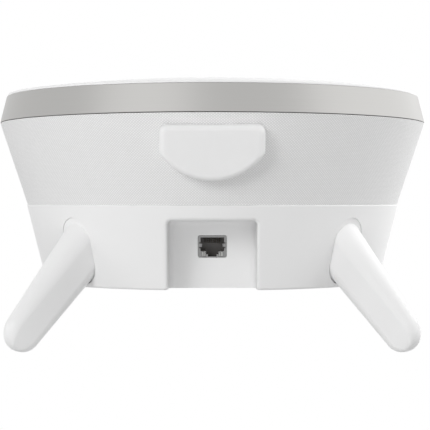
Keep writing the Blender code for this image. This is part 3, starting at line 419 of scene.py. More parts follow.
def carve(piece: Piece, tools: Sequence[Piece], cut: Cut = Cut.TAKE_AWAY) -> None:
    """Cuts solids out of a piece, or joins them to it, and removes them.

    Args:
        piece: The piece that changes.
        tools: The solids.
        cut: What they do to the piece.
    """
    for tool in tools:
        step = piece.modifiers.new(tool.name, "BOOLEAN")
        step.operation = cut.value
        step.solver = "EXACT"
        step.object = tool
    make_plain(piece)
    weld(piece)
    for tool in tools:
        bpy.data.objects.remove(tool, do_unlink=True)


def soften(piece: Piece, width: float, steps: int, chosen: Callable[[Vector], bool]) -> None:
    """Rounds the sharp outer edges of a piece.

    Args:
        piece: The piece, still on the body's own axes.
        width: Width that the rounding takes from each face.
        steps: Facets in the rounding.
        chosen: Test of an edge's middle point.
    """
    with editing(piece) as mesh:
        edges = [edge for edge in mesh.edges
                 if len(edge.link_faces) == 2 and edge.is_convex and edge.calc_face_angle() > ROUNDED_ANGLE
                 and chosen((edge.verts[0].co + edge.verts[1].co) / 2)]
        bmesh.ops.bevel(mesh, geom=edges, offset=width, offset_type="OFFSET", segments=steps, profile=0.5,
                        affect="EDGES", clamp_overlap=False)


def smooth(piece: Piece) -> None:
    """Shades a piece smooth, with its sharper edges kept crisp and its large faces kept flat.

    Args:
        piece: The piece.
    """
    piece.data.shade_smooth()
    piece.data.set_sharp_from_angle(angle=CRISP_ANGLE)
    weigh = piece.modifiers.new("weigh_normals", "WEIGHTED_NORMAL")
    weigh.keep_sharp = True
    make_plain(piece)


class Graph:
    """Builds one node tree, whether of a material, a shader group or a shape."""

    def __init__(self, tree: NodeTree) -> None:
        """Keeps the tree that the nodes go into."""
        self.tree = tree

    @classmethod
    def group(cls, name: str, kind: str, inputs: dict[str, str],
              outputs: dict[str, str]) -> tuple[Graph, Sockets]:
        """Starts a group with named inputs and outputs.

        Args:
            name: Name of the group.
            kind: Kind of tree, Shader or Geometry.
            inputs: Kind of each input by name, such as Float.
            outputs: Kind of each output by name.

        Returns:
            The graph and the sockets that its inputs come from.
        """
        graph = cls(bpy.data.node_groups.new(name, f"{kind}NodeTree"))
        for way, sockets in (("INPUT", inputs), ("OUTPUT", outputs)):
            for socket, value in sockets.items():
                graph.tree.interface.new_socket(socket, in_out=way, socket_type=f"NodeSocket{value}")
        return graph, graph.add("NodeGroupInput").outputs

    def fill(self, node: Node, inputs: dict) -> None:
        """Sets or links inputs of a node.

        Args:
            node: The node.
            inputs: Values, or sockets to link, by the input's name or number.
        """
        for key, value in inputs.items():
            if isinstance(value, NodeSocket):
                self.tree.links.new(value, node.inputs[key])
            else:
                node.inputs[key].default_value = value

    def add(self, kind: str, inputs: dict | None = None, **settings: object) -> Node:
        """Adds a node with its settings and its inputs.

        Args:
            kind: Type name of the node.
            inputs: Values, or sockets to link, by the input's name or number.
            **settings: Values of the node's own properties.

        Returns:
            The new node.
        """
        node = self.tree.nodes.new(kind)
        for name, value in settings.items():
            setattr(node, name, value)
        self.fill(node, inputs or {})
        return node

    def use(self, group: NodeTree, inputs: dict | None = None) -> Sockets:
        """Places a shader group and gives its outputs."""
        return self.add("ShaderNodeGroup", inputs, node_tree=group).outputs

    def math(self, operation: str, first: object, second: object = 0.0, third: object = 0.0) -> NodeSocket:
        """Adds a sum of up to three numbers or sockets."""
        return self.add("ShaderNodeMath", {0: first, 1: second, 2: third}, operation=operation).outputs[0]

    def vector(self, x: object = 0.0, y: object = 0.0, z: object = 0.0) -> NodeSocket:
        """Joins three numbers or sockets into a vector."""
        return self.add("ShaderNodeCombineXYZ", {0: x, 1: y, 2: z}).outputs[0]

    def object_point(self) -> NodeSocket:
        """Gives the shaded point on the object's own coordinates."""
        return self.add("ShaderNodeTexCoord").outputs["Object"]

    def noise(self, point: object, scale: object, detail: float, roughness: float = 0.5) -> NodeSocket:
        """Adds a cloudy noise from 0 to 1."""
        inputs = {"Vector": point, "Scale": scale, "Detail": detail, "Roughness": roughness}
        return self.add("ShaderNodeTexNoise", inputs).outputs["Fac"]

    def mixed(self, share: NodeSocket, first: Colour, second: Colour) -> NodeSocket:
        """Mixes two colours by the share of the second."""
        inputs = {"Factor": share, "A": (*first, 1.0), "B": (*second, 1.0)}
        return self.add("ShaderNodeMix", inputs, data_type="RGBA").outputs["Result"]

    def scaled(self, colour: object, tone: NodeSocket) -> NodeSocket:
        """Multiplies a colour by a tone."""
        return self.add("ShaderNodeVectorMath", {0: colour, 1: tone}, operation="MULTIPLY").outputs[0]

    def bump(self, height: NodeSocket, depth: float, strength: float = 1.0) -> NodeSocket:
        """Turns a height from 0 to 1 into a normal."""
        inputs = {"Height": height, "Distance": depth, "Strength": strength}
        return self.add("ShaderNodeBump", inputs).outputs["Normal"]


class SurfaceGroups:
    """Shader groups that the finishes share, each built once."""

    COARSE_SCALE = 0.3
    COARSE_SHARE = 0.4
    GLOSS_SWING = 1.5

    def __init__(self) -> None:
        """Builds the groups."""
        self.place = self._body_place()
        self.grain = self._grain()
        self.drift = self._drift()
        self.weave = self._weave()
        self.lines = self._lines()

    def drifting(self, graph: Graph, colour: object, roughness: float, share: float,
                 size: float) -> dict[str, NodeSocket]:
        """Lets a colour and a gloss drift a little in a material.

        Args:
            graph: The material's graph.
            colour: The colour or its socket.
            roughness: Roughness in the middle of its swing.
            share: Share by which the colour swings.
            size: Size of the drift's patches.

        Returns:
            What feeds the shader's colour and roughness.
        """
        inputs = {"Colour": colour, "Roughness": roughness, "Share": share, "Size": size}
        drifted = graph.use(self.drift, inputs)
        return {"Base Color": drifted["Colour"], "Roughness": drifted["Roughness"]}

    def _body_place(self) -> NodeTree:
        """Makes the group that measures round and along the body's axis.

        Returns:
            The group, with the turn in radians and the height.
        """
        graph, _ = Graph.group("body_place", "Shader", {}, {"Turn": "Float", "Height": "Float"})
        inputs = {"Vector": graph.object_point(), "Location": (0.0, STAND.y, STAND.z),
                  "Rotation": (math.radians(STAND.lean), 0.0, 0.0)}
        local = graph.add("ShaderNodeMapping", inputs, vector_type="TEXTURE")
        x, y, z = graph.add("ShaderNodeSeparateXYZ", {0: local.outputs[0]}).outputs
        turn = graph.math("ARCTAN2", x, graph.math("MULTIPLY", y, -1.0))
        graph.add("NodeGroupOutput", {"Turn": turn, "Height": z})
        return graph.tree

    def _grain(self) -> NodeTree:
        """Makes the group of a moulded surface's fine grain.

        Returns:
            The group, with a height from 0 to 1.
        """
        graph, given = Graph.group("moulded_grain", "Shader", {"Size": "Float"}, {"Height": "Float"})
        point = graph.object_point()
        scale = graph.math("DIVIDE", 1.0, given["Size"])
        fine = graph.noise(point, scale, detail=3.0, roughness=0.55)
        coarse = graph.noise(point, graph.math("MULTIPLY", scale, self.COARSE_SCALE), detail=2.0)
        fine_part = graph.math("MULTIPLY", fine, 1.0 - self.COARSE_SHARE)
        height = graph.math("MULTIPLY_ADD", coarse, self.COARSE_SHARE, fine_part)
        graph.add("NodeGroupOutput", {"Height": height})
        return graph.tree

    def _drift(self) -> NodeTree:
        """Makes the group that lets a colour and a gloss drift a little over a surface.

        Returns:
            The group, with the drifted colour and roughness.
        """
        inputs = {"Colour": "Color", "Roughness": "Float", "Share": "Float", "Size": "Float"}
        graph, given = Graph.group("tone_drift", "Shader", inputs, {"Colour": "Color", "Roughness": "Float"})
        scale = graph.math("DIVIDE", 1.0, given["Size"])
        cloud = graph.noise(graph.object_point(), scale, detail=4.0, roughness=0.6)
        swing = graph.math("MULTIPLY", graph.math("SUBTRACT", cloud, 0.5), given["Share"])
        colour = graph.scaled(given["Colour"], graph.math("ADD", swing, 1.0))
        roughness = graph.math("MULTIPLY_ADD", swing, self.GLOSS_SWING, given["Roughness"])
        graph.add("NodeGroupOutput", {"Colour": colour, "Roughness": roughness})
        return graph.tree

    def _weave(self) -> NodeTree:
        """Makes the group of a plain weave, one thread over and one under.

        Returns:
            The group, with the thread's height and which thread lies on top.
        """
        inputs = {"Across": "Float", "Along": "Float"}
        graph, given = Graph.group("plain_weave", "Shader", inputs, {"Height": "Float", "Top": "Float"})
        across, along = [graph.math("SINE", graph.math("MULTIPLY", given[way], math.pi)) for way in inputs]
        both = graph.math("MULTIPLY", across, along)
        height = graph.math("SQRT", graph.math("ABSOLUTE", both))
        top = graph.math("MULTIPLY_ADD", both, 0.5, 0.5)
        graph.add("NodeGroupOutput", {"Height": height, "Top": top})
        return graph.tree

    def _lines(self) -> NodeTree:
        """Makes the group of the fine lines that turning leaves on metal.

        Returns:
            The group, with a height from 0 to 1.
        """
        inputs = {"Turn": "Float", "Height": "Float", "Pitch": "Float"}
        graph, given = Graph.group("turning_lines", "Shader", inputs, {"Line": "Float"})
        level = graph.math("DIVIDE", given["Height"], given["Pitch"])
        point = graph.vector(graph.math("SINE", given["Turn"]), graph.math("COSINE", given["Turn"]), level)
        graph.add("NodeGroupOutput", {"Line": graph.noise(point, scale=1.0, detail=3.0)})
        return graph.tree


def new_material(name: str) -> tuple[Graph, Node, Material]:
    """Starts a material with its Principled shader.

    Args:
        name: Name of the material.

    Returns:
        The graph, the shader node and the material.
    """
    material = bpy.data.materials.new(name)
    material.use_nodes = True
    return Graph(material.node_tree), material.node_tree.nodes["Principled BSDF"], material


@dataclass(frozen=True)
class Finish:
    """A named surface, made into one material."""

    name: str

    def feed(self, graph: Graph, groups: SurfaceGroups) -> dict[str, object]:
        """Works out what feeds the shader; each kind of finish has its own way.

        Args:
            graph: The material's graph.
            groups: The shared shader groups.

        Returns:
            Values, or sockets to link, by the shader's inputs.
        """
        raise NotImplementedError

    def material(self, groups: SurfaceGroups) -> Material:
        """Builds the material.

        Args:
            groups: The shared shader groups.

        Returns:
            The material.
        """
        graph, shader, material = new_material(self.name)
        graph.fill(shader, self.feed(graph, groups))
        return material


@dataclass(frozen=True)
class Moulded(Finish):
    """Moulded plastic or rubber: one colour with a faint drift and a fine grain."""

    colour: Colour
    roughness: float
    grain_size: float = 0.00045
    grain_depth: float = 0.000012
    drift: float = 0.03
    drift_size: float = 0.03
    metallic: float = 0.0

    def feed(self, graph: Graph, groups: SurfaceGroups) -> dict[str, object]:
        """Feeds the shader with the drifting colour and the grain.

        Args:
            graph: The material's graph.
            groups: The shared shader groups.

        Returns:
            Values, or sockets to link, by the shader's inputs.
        """
        colour = (*self.colour, 1.0)
        drifting = groups.drifting(graph, colour, self.roughness, self.drift, self.drift_size)
        grain = graph.use(groups.grain, {"Size": self.grain_size})
        normal = graph.bump(grain["Height"], self.grain_depth)
        return {**drifting, "Normal": normal, "Metallic": self.metallic}


@dataclass(frozen=True)
class Metal(Moulded):
    """Bare or plated metal with a faint drift and a fine grain."""

    grain_size: float = 0.0003
    grain_depth: float = 0.000004
    drift: float = 0.08
    drift_size: float = 0.004
    metallic: float = 1.0


@dataclass(frozen=True)
class TurnedMetal(Finish):
    """Satin metal with fine lines round the body's axis."""

    colour: Colour
    roughness: float
    line_pitch: float = 0.00022
    line_depth: float = 0.0000025
    tone_swing: float = 0.08
    gloss_swing: float = 0.10

    def feed(self, graph: Graph, groups: SurfaceGroups) -> dict[str, object]:
        """Feeds the shader with lines in the colour, the gloss and the normal.

        Args:
            graph: The material's graph.
            groups: The shared shader groups.

        Returns:
            Values, or sockets to link, by the shader's inputs.
        """
        place = graph.use(groups.place)
        inputs = {"Turn": place["Turn"], "Height": place["Height"], "Pitch": self.line_pitch}
        line = graph.use(groups.lines, inputs)["Line"]
        tone = graph.math("MULTIPLY_ADD", line, self.tone_swing, 1.0 - self.tone_swing / 2)
        gloss = graph.math("MULTIPLY_ADD", line, self.gloss_swing, self.roughness - self.gloss_swing / 2)
        return {"Base Color": graph.scaled(self.colour, tone), "Roughness": gloss,
                "Normal": graph.bump(line, self.line_depth), "Metallic": 1.0}


@dataclass(frozen=True)
class WovenCloth(Finish):
    """Fine plain weave that runs round the body's axis."""

    thread: Colour
    # grey of the hollows between threads: painted shade, the yarn itself is one white
    hollow: Colour
    threads_round: int = 930
    thread_pitch: float = 0.00062
    depth: float = 0.00014
    relief: float = 0.6
    # share by which cells with one thread on top are lighter than cells with the other: painted shading of
    # the two thread directions
    top_shade_share: float = 0.26
    roughness: float = 0.86
    drift: float = 0.05
    drift_size: float = 0.003
    specular: float = 0.2
    sheen: float = 0.30

    def feed(self, graph: Graph, groups: SurfaceGroups) -> dict[str, object]:
        """Feeds the shader with the weave's colour, with painted shade in its hollows and painted shading of
        its threads, and with its relief.

        Args:
            graph: The material's graph.
            groups: The shared shader groups.

        Returns:
            Values, or sockets to link, by the shader's inputs.
        """
        place = graph.use(groups.place)
        across = graph.math("MULTIPLY", place["Turn"], self.threads_round / FULL_TURN)
        along = graph.math("DIVIDE", place["Height"], self.thread_pitch)
        weave = graph.use(groups.weave, {"Across": across, "Along": along})
        # the colour darkens where the threads dip: painted shade in the weave's hollows
        yarn_with_hollow_shade = graph.mixed(weave["Height"], self.hollow, self.thread)
        # painted shading: cells of one thread direction lighter than those of the other
        tone = graph.math("MULTIPLY_ADD", weave["Top"], self.top_shade_share, 1.0 - self.top_shade_share / 2)
        shaded = graph.scaled(yarn_with_hollow_shade, tone)
        drifting = groups.drifting(graph, shaded, self.roughness, self.drift, self.drift_size)
        return {**drifting, "Normal": graph.bump(weave["Height"], self.depth, self.relief),
                "Specular IOR Level": self.specular, "Sheen Weight": self.sheen}


@dataclass(frozen=True)
class CircuitBoard(Finish):
    """Solder mask over copper tracks."""

    mask: Colour
    track: Colour
    cell_scale: float = 260.0
    track_pitch: float = 0.25
    track_width: float = 0.05
    roughness: float = 0.42
    drift: float = 0.06
    drift_size: float = 0.01

    def feed(self, graph: Graph, groups: SurfaceGroups) -> dict[str, object]:
        """Feeds the shader with square-cornered tracks under the mask.

        Args:
            graph: The material's graph.
            groups: The shared shader groups.

        Returns:
            Values, or sockets to link, by the shader's inputs.
        """
        inputs = {"Vector": graph.object_point(), "Scale": self.cell_scale}
        cells = graph.add("ShaderNodeTexVoronoi", inputs, distance="MANHATTAN")
        folded = graph.math("PINGPONG", cells.outputs["Distance"], self.track_pitch)
        colour = graph.mixed(graph.math("LESS_THAN", folded, self.track_width), self.mask, self.track)
        return groups.drifting(graph, colour, self.roughness, self.drift, self.drift_size)


class Finishes:
    """All materials of the node, by name."""

    def __init__(self, groups: SurfaceGroups) -> None:
        """Builds every finish.

        Args:
            groups: The shared shader groups.
        """
        recipes = (
            Moulded("cover_white", (0.84, 0.84, 0.84), 0.38),
            TurnedMetal("ring_satin", (0.445, 0.44, 0.43), 0.36),
            # the second grey is painted shade in the weave's hollows
            WovenCloth("sleeve_weave", (0.86, 0.86, 0.86), (0.68, 0.68, 0.68)),
            Moulded("base_white", (0.82, 0.82, 0.82), 0.46),
            Moulded("inner_grey", (0.30, 0.30, 0.31), 0.60),
            Moulded("leg_white", (0.83, 0.83, 0.83), 0.44),
            Moulded("foot_soft", (0.82, 0.82, 0.82), 0.62, 0.0003, 0.000010, 0.02),
            Moulded("button_grey", (0.55, 0.55, 0.55), 0.45),
            Metal("shield_tin", (0.27, 0.27, 0.27), 0.36),
            Moulded("chip_black", (0.022, 0.022, 0.023), 0.50),
            # the insert is black plastic; its light grey is painted light inside the plug's cavity
            Moulded("insert_dark", (0.27, 0.26, 0.255), 0.55),
            # the contacts are plated gold; their dull brown is painted shade of the cavity
            Metal("contact_gold", (0.30, 0.25, 0.17), 0.34),
            Moulded("pipe_clear", (0.46, 0.46, 0.45), 0.22),
            CircuitBoard("board_mask", (0.016, 0.10, 0.05), (0.03, 0.19, 0.09)),
            Metal("sink_aluminium", (0.60, 0.60, 0.61), 0.45),
            Moulded("pad_blue", (0.35, 0.42, 0.50), 0.80),
            Moulded("ferrite_black", (0.05, 0.05, 0.05), 0.70),
            Moulded("capacitor_sleeve", (0.03, 0.03, 0.05), 0.40),
            Metal("antenna_tin", (0.62, 0.60, 0.55), 0.30),
            Moulded("cable_black", (0.05, 0.05, 0.05), 0.50),
            Metal("screw_zinc", (0.45, 0.45, 0.46), 0.35),
        )
        self.made = {recipe.name: recipe.material(groups) for recipe in recipes}

    def __getitem__(self, name: str) -> Material:
        """Gives the material of that name."""
        return self.made[name]


class ShapeTrees:
    """Geometry node trees that make what is turned and what repeats.

    A slot's ends are rounded by a share of its width just under half, so that the two arcs don't meet.
    """

    SLOT_END_SHARE = 0.499
    SLOT_END_STEPS = 8

    def __init__(self) -> None:
        """Builds the trees."""
        self.turned = self._turned()
        self.slots = self._slots()
        self.repeated = self._repeated()
        self.comb = self._comb()

    @staticmethod
    def _open(name: str, inputs: dict[str, str]) -> tuple[Graph, Sockets]:
        """Starts a tree with a geometry input and output, and with a finish as its last input."""
        shape = {"Geometry": "Geometry"}
        return Graph.group(name, "Geometry", {**shape, **inputs, "Finish": "Material"}, shape)

    @staticmethod
    def _close(graph: Graph, made: NodeSocket, finish: NodeSocket) -> NodeTree:
        """Ends a tree by realising instances, merging points and setting the material.

        Args:
            graph: The tree's graph.
            made: The geometry so far.
            finish: The material input.

        Returns:
            The finished tree.
        """
        real = graph.add("GeometryNodeRealizeInstances", {"Geometry": made}).outputs[0]
        merged = graph.add("GeometryNodeMergeByDistance", {"Geometry": real, "Distance": MERGE_DISTANCE})
        dressed = graph.add("GeometryNodeSetMaterial", {"Geometry": merged.outputs[0], "Material": finish})
        graph.add("NodeGroupOutput", {"Geometry": dressed.outputs[0]})
        return graph.tree

    @staticmethod
    def _row(graph: Graph, axis: str, count: NodeSocket, pitch: NodeSocket) -> NodeSocket:
        """Lays points side by side along an axis, with their middle at the origin.

        Args:
            graph: The tree's graph.
            axis: Name of the axis, x or y.
            count: Number of points.
            pitch: Distance from one to the next.

        Returns:
            The points.
        """
        half = graph.math("MULTIPLY", graph.math("SUBTRACT", count, 1.0), -0.5)
        start = graph.vector(**{axis: graph.math("MULTIPLY", half, pitch)})
        inputs = {"Count": count, "Start Location": start, "Offset": graph.vector(**{axis: pitch})}
        return graph.add("GeometryNodeMeshLine", inputs).outputs["Mesh"]

    def _turned(self) -> NodeTree:
        """Makes the tree that turns a profile once round the axis.

        Returns:
            The tree; its profile is drawn as (radius less the rail's radius, minus height).
        """
        graph, given = self._open("turned_form", {"Rail Radius": "Float", "Segments": "Int"})
        profile = graph.add("GeometryNodeMeshToCurve", {"Mesh": given["Geometry"]}).outputs["Curve"]
        circle_inputs = {"Resolution": given["Segments"], "Radius": given["Rail Radius"]}
        rail = graph.add("GeometryNodeCurvePrimitiveCircle", circle_inputs).outputs["Curve"]
        skin = graph.add("GeometryNodeCurveToMesh", {"Curve": rail, "Profile Curve": profile})
        return self._close(graph, skin.outputs["Mesh"], given["Finish"])

    def _slots(self) -> NodeTree:
        """Makes the tree of round-ended slots, side by side, that fill a round field.

        Returns:
            The tree.
        """
        graph, given = self._open("slot_field", {"Field Radius": "Float", "Rows": "Int", "Pitch": "Float",
                                                 "Width": "Float", "Depth": "Float"})
        points = self._row(graph, "y", given["Rows"], given["Pitch"])
        position = graph.add("GeometryNodeInputPosition").outputs[0]
        level = graph.add("ShaderNodeSeparateXYZ", {0: position}).outputs["Y"]
        radius = given["Field Radius"]
        rest = graph.math("SUBTRACT", graph.math("MULTIPLY", radius, radius),
                          graph.math("MULTIPLY", level, level))
        length = graph.math("MULTIPLY", graph.math("SQRT", rest), 2.0)
        frame_inputs = {"Width": 1.0, "Height": given["Width"]}
        frame = graph.add("GeometryNodeCurvePrimitiveQuadrilateral", frame_inputs).outputs["Curve"]
        copies = graph.add("GeometryNodeInstanceOnPoints", {"Points": points, "Instance": frame,
                                                            "Scale": graph.vector(length, 1.0, 1.0)})
        real = graph.add("GeometryNodeRealizeInstances", {"Geometry": copies.outputs[0]}).outputs[0]
        end_inputs = {"Curve": real, "Count": self.SLOT_END_STEPS, "Limit Radius": True,
                      "Radius": graph.math("MULTIPLY", given["Width"], self.SLOT_END_SHARE)}
        ends = graph.add("GeometryNodeFilletCurve", end_inputs, mode="POLY").outputs[0]
        floor = graph.add("GeometryNodeFillCurve", {"Curve": ends}, mode="NGONS").outputs[0]
        walls = graph.add("GeometryNodeExtrudeMesh", {"Mesh": floor, "Offset": graph.vector(z=given["Depth"]),
                                                      "Individual": False})
        under = graph.add("GeometryNodeFlipFaces", {"Mesh": floor})
        both = graph.add("GeometryNodeJoinGeometry", {0: walls.outputs["Mesh"]})
        graph.fill(both, {0: under.outputs[0]})
        return self._close(graph, both.outputs[0], given["Finish"])

    def _repeated(self) -> NodeTree:
        """Makes the tree that sets one small part on each point of a mesh.

        Returns:
            The tree.
        """
        graph, given = self._open("repeated_part", {"Part": "Object", "Turn": "Vector"})
        part = graph.add("GeometryNodeObjectInfo", {"Object": given["Part"]}).outputs["Geometry"]
        inputs = {"Points": given["Geometry"], "Instance": part, "Rotation": given["Turn"]}
        copies = graph.add("GeometryNodeInstanceOnPoints", inputs)
        return self._close(graph, copies.outputs[0], given["Finish"])

    def _comb(self) -> NodeTree:
        """Makes the tree of spring wires side by side, each swept along the same route.

        Returns:
            The tree.
        """
        graph, given = self._open("wire_comb", {"Count": "Int", "Pitch": "Float", "Thickness": "Float"})
        route = graph.add("GeometryNodeMeshToCurve", {"Mesh": given["Geometry"]}).outputs["Curve"]
        sides = {"Width": given["Thickness"], "Height": given["Thickness"]}
        section = graph.add("GeometryNodeCurvePrimitiveQuadrilateral", sides).outputs["Curve"]
        wire_inputs = {"Curve": route, "Profile Curve": section, "Fill Caps": True}
        wire = graph.add("GeometryNodeCurveToMesh", wire_inputs).outputs["Mesh"]
        points = self._row(graph, "x", given["Count"], given["Pitch"])
        copies = graph.add("GeometryNodeInstanceOnPoints", {"Points": points, "Instance": wire})
        return self._close(graph, copies.outputs[0], given["Finish"])


def grow(name: str, seed: bpy.types.Mesh, tree: NodeTree, inputs: dict[str, object]) -> Piece:
    """Runs a geometry node tree on a mesh and keeps the result as a plain mesh.

    Args:
        name: Name of the object.
        seed: Mesh that the tree starts from.
        tree: The tree.
        inputs: Values of the tree's named inputs.

    Returns:
        The object, with its normals pointing outwards.
    """
    piece = link_object(name, seed)
    step = piece.modifiers.new(tree.name, "NODES")
    step.node_group = tree
    for item in tree.interface.items_tree:
        if item.in_out == "INPUT" and item.name in inputs:
            step[item.identifier] = inputs[item.name]
    make_plain(piece)
    weld(piece, turn_out=True)
    return piece


def chain(name: str, points: Sequence[Sequence[float]], closed: bool) -> bpy.types.Mesh:
    """Makes a mesh of edges through points.

    Args:
        name: Name of the mesh.
        points: Points with three coordinates.
        closed: True if the last point joins the first.

    Returns:
        The mesh.
    """
    mesh = bpy.data.meshes.new(name)
    edges = [(index, index + 1) for index in range(len(points) - 1)]
    if closed:
        edges.append((len(points) - 1, 0))
    mesh.from_pydata(points, edges, [])
    return mesh


@dataclass
class Workshop:
    """What every sub-assembly needs: the finishes and the shape trees."""

    finishes: Finishes
    trees: ShapeTrees

    def turn(self, name: str, profile: Outline, finish: str, segments: int, closed: bool = True) -> Piece:
        """Turns a profile round the body's axis.

        Args:
            name: Name of the piece.
            profile: Points as (radius, height).
            finish: Name of its finish.
            segments: Sides of the piece.
            closed: False for a profile that starts and ends on the axis.

        Returns:
            The piece, on the body's own axes.
        """
        rail = max(radius for radius, _ in profile) / 2
        points = [(radius - rail, -height, 0.0) for radius, height in profile]
        values = {"Rail Radius": rail, "Segments": segments, "Finish": self.finishes[finish]}
        return grow(name, chain(name, points, closed), self.trees.turned, values)

    def paint(self, piece: Piece, finish: str) -> None:
        """Gives a piece one finish in place of what it had."""
        piece.data.materials.clear()
        piece.data.materials.append(self.finishes[finish])

    def complete(self, piece: Piece, body: Body, slot: str, nodes: Sequence[str],
                 finish: str | None = None) -> None:
        """Shades a finished piece, stands it up in the row frame and hands it to the frame.

        Args:
            piece: The piece, on the body's own axes.
            body: Body that it rides on.
            slot: Name of a material slot; not used.
            nodes: CAD nodes that it stands for.
            finish: Name of its finish, if it has none yet.
        """
        smooth(piece)
        piece.data.transform(STAND.matrix())
        if finish is not None:
            self.paint(piece, finish)
        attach(piece, body.value)
        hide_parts(*nodes)
        faces = len(piece.data.polygons)
        LOG.info("%s: %d faces on %s, for %s", piece.name, faces, body.value, ", ".join(nodes))


@dataclass
class Face:
    """Domed front cover, metal trim ring and status light."""

    shop: Workshop
    segments: int = 192
    lip_radius: float = 0.1113
    lip_rear: float = 0.0994
    lip_front: float = 0.1006
    lip_round: float = 0.0009
    dome_rise: float = 0.0077
    dome_steps: int = 28
    wall: float = 0.0018
    wall_steps: int = 8
    skirt_length: float = 0.0070
    ring_segments: int = 256
    ring_edge: float = 0.0003
    ring_edge_steps: int = 4
    flange_reach: float = 0.0080
    flange_thickness: float = 0.0020
    light_radius: float = 0.0013
    light_offset: float = 0.08805
    light_rear: float = 0.0772
    light_sink: float = 0.0002
    light_flatness: float = 6.0
    light_facets: int = 32
    light_edge_steps: int = 3

    def dome_height(self, radius: float, drop: float = 0.0) -> float:
        """Finds the dome's height at a distance from the axis, or that of a surface a drop below it."""
        ball = (self.lip_radius ** 2 + self.dome_rise ** 2) / (2 * self.dome_rise)
        return self.lip_front + self.dome_rise - ball + math.sqrt((ball - drop) ** 2 - radius ** 2)

    def light_place(self) -> Matrix:
        """Gives the shift from the body's axis to the light's."""
        return Matrix.Translation((0.0, -self.light_offset, 0.0))

    def build_cover(self) -> None:
        """Builds the domed cover with its lip, its skirt and the hole for the light."""
        skirt_radius = HULL.ring_bore - HULL.gap
        skirt_bore = skirt_radius - self.wall
        skirt_rear = self.lip_rear - self.skirt_length
        outer = [self.lip_radius * step / self.dome_steps for step in range(self.dome_steps)]
        inner = [skirt_bore * step / self.wall_steps for step in range(self.wall_steps, -1, -1)]
        corners = [(radius, self.dome_height(radius), 0) for radius in outer]
        corners += [(self.lip_radius, self.lip_front, self.lip_round), (self.lip_radius, self.lip_rear, 0),
                    (skirt_radius, self.lip_rear, 0), (skirt_radius, skirt_rear, 0),
                    (skirt_bore, skirt_rear, 0)]
        corners += [(radius, self.dome_height(radius, self.wall), 0) for radius in inner]
        cover = self.shop.turn("cover_dome", rounded(corners), "cover_white", self.segments, closed=False)
        hole = circle(self.light_radius + HULL.gap, self.light_facets)
        drill = prism([hole], self.lip_rear, self.dome_height(0.0))
        carve(cover, [add_object("light_hole", drill, self.light_place())])
        self.shop.complete(cover, Body.HOUSING, "cover", ["front_cover"], "cover_white")

    def build_ring(self) -> None:
        """Builds the satin ring with its inner flange."""
        flange_bore = HULL.ring_bore - self.flange_reach
        flange_front = HULL.ring_rear + self.flange_thickness
        corners = [(HULL.ring_rear_radius, HULL.ring_rear, self.ring_edge),
                   (HULL.ring_front_radius, HULL.ring_front, self.ring_edge),
                   (HULL.ring_bore, HULL.ring_front, 0), (HULL.ring_bore, flange_front, 0),
                   (flange_bore, flange_front, 0), (flange_bore, HULL.ring_rear, 0)]
        profile = rounded(corners, self.ring_edge_steps)
        ring = self.shop.turn("ring_band", profile, "ring_satin", self.ring_segments)
        self.shop.complete(ring, Body.HOUSING, "ring", ["trim_ring"])

    def build_light(self) -> None:
        """Builds the light pipe, with a slightly crowned end just below the dome."""
        top = self.dome_height(self.light_offset + self.light_radius) - self.light_sink
        crown = self.light_radius / self.light_flatness
        corners = [(0.0, self.light_rear, 0), (self.light_radius, self.light_rear, 0),
                   (self.light_radius, top - crown, crown / 2), (0.0, top, 0)]
        profile = rounded(corners, self.light_edge_steps)
        pipe = self.shop.turn("light_pipe", profile, "pipe_clear", self.light_facets, closed=False)
        pipe.data.transform(self.light_place())
        self.shop.complete(pipe, Body.HOUSING, "light", ["status_lens"])

    def build(self) -> None:
        """Builds the whole face."""
        self.build_cover()
        self.build_ring()
        self.build_light()


@dataclass
class Sleeve:
    """Woven sleeve round the upper shell."""

    shop: Workshop
    thickness: float = 0.0012
    edge: float = 0.00015
    edge_steps: int = 4
    segments: int = 256
    bands: int = 10

    def build(self) -> None:
        """Builds the sleeve with both edges rolled in."""
        rear, front = HULL.cloth_rear, HULL.cloth_front
        corners = [(HULL.cloth_rear_radius, rear, self.edge)]
        for step in range(1, self.bands):
            z = rear + (front - rear) * step / self.bands
            corners.append((HULL.cloth_radius(z), z, 0))
        corners += [(HULL.cloth_front_radius, front, self.edge),
                    (HULL.cloth_front_radius - self.thickness, front, 0),
                    (HULL.cloth_rear_radius - self.thickness, rear, 0)]
        profile = rounded(corners, self.edge_steps)
        sleeve = self.shop.turn("sleeve_cloth", profile, "sleeve_weave", self.segments)
        self.shop.complete(sleeve, Body.HOUSING, "fabric", ["fabric_sleeve"])


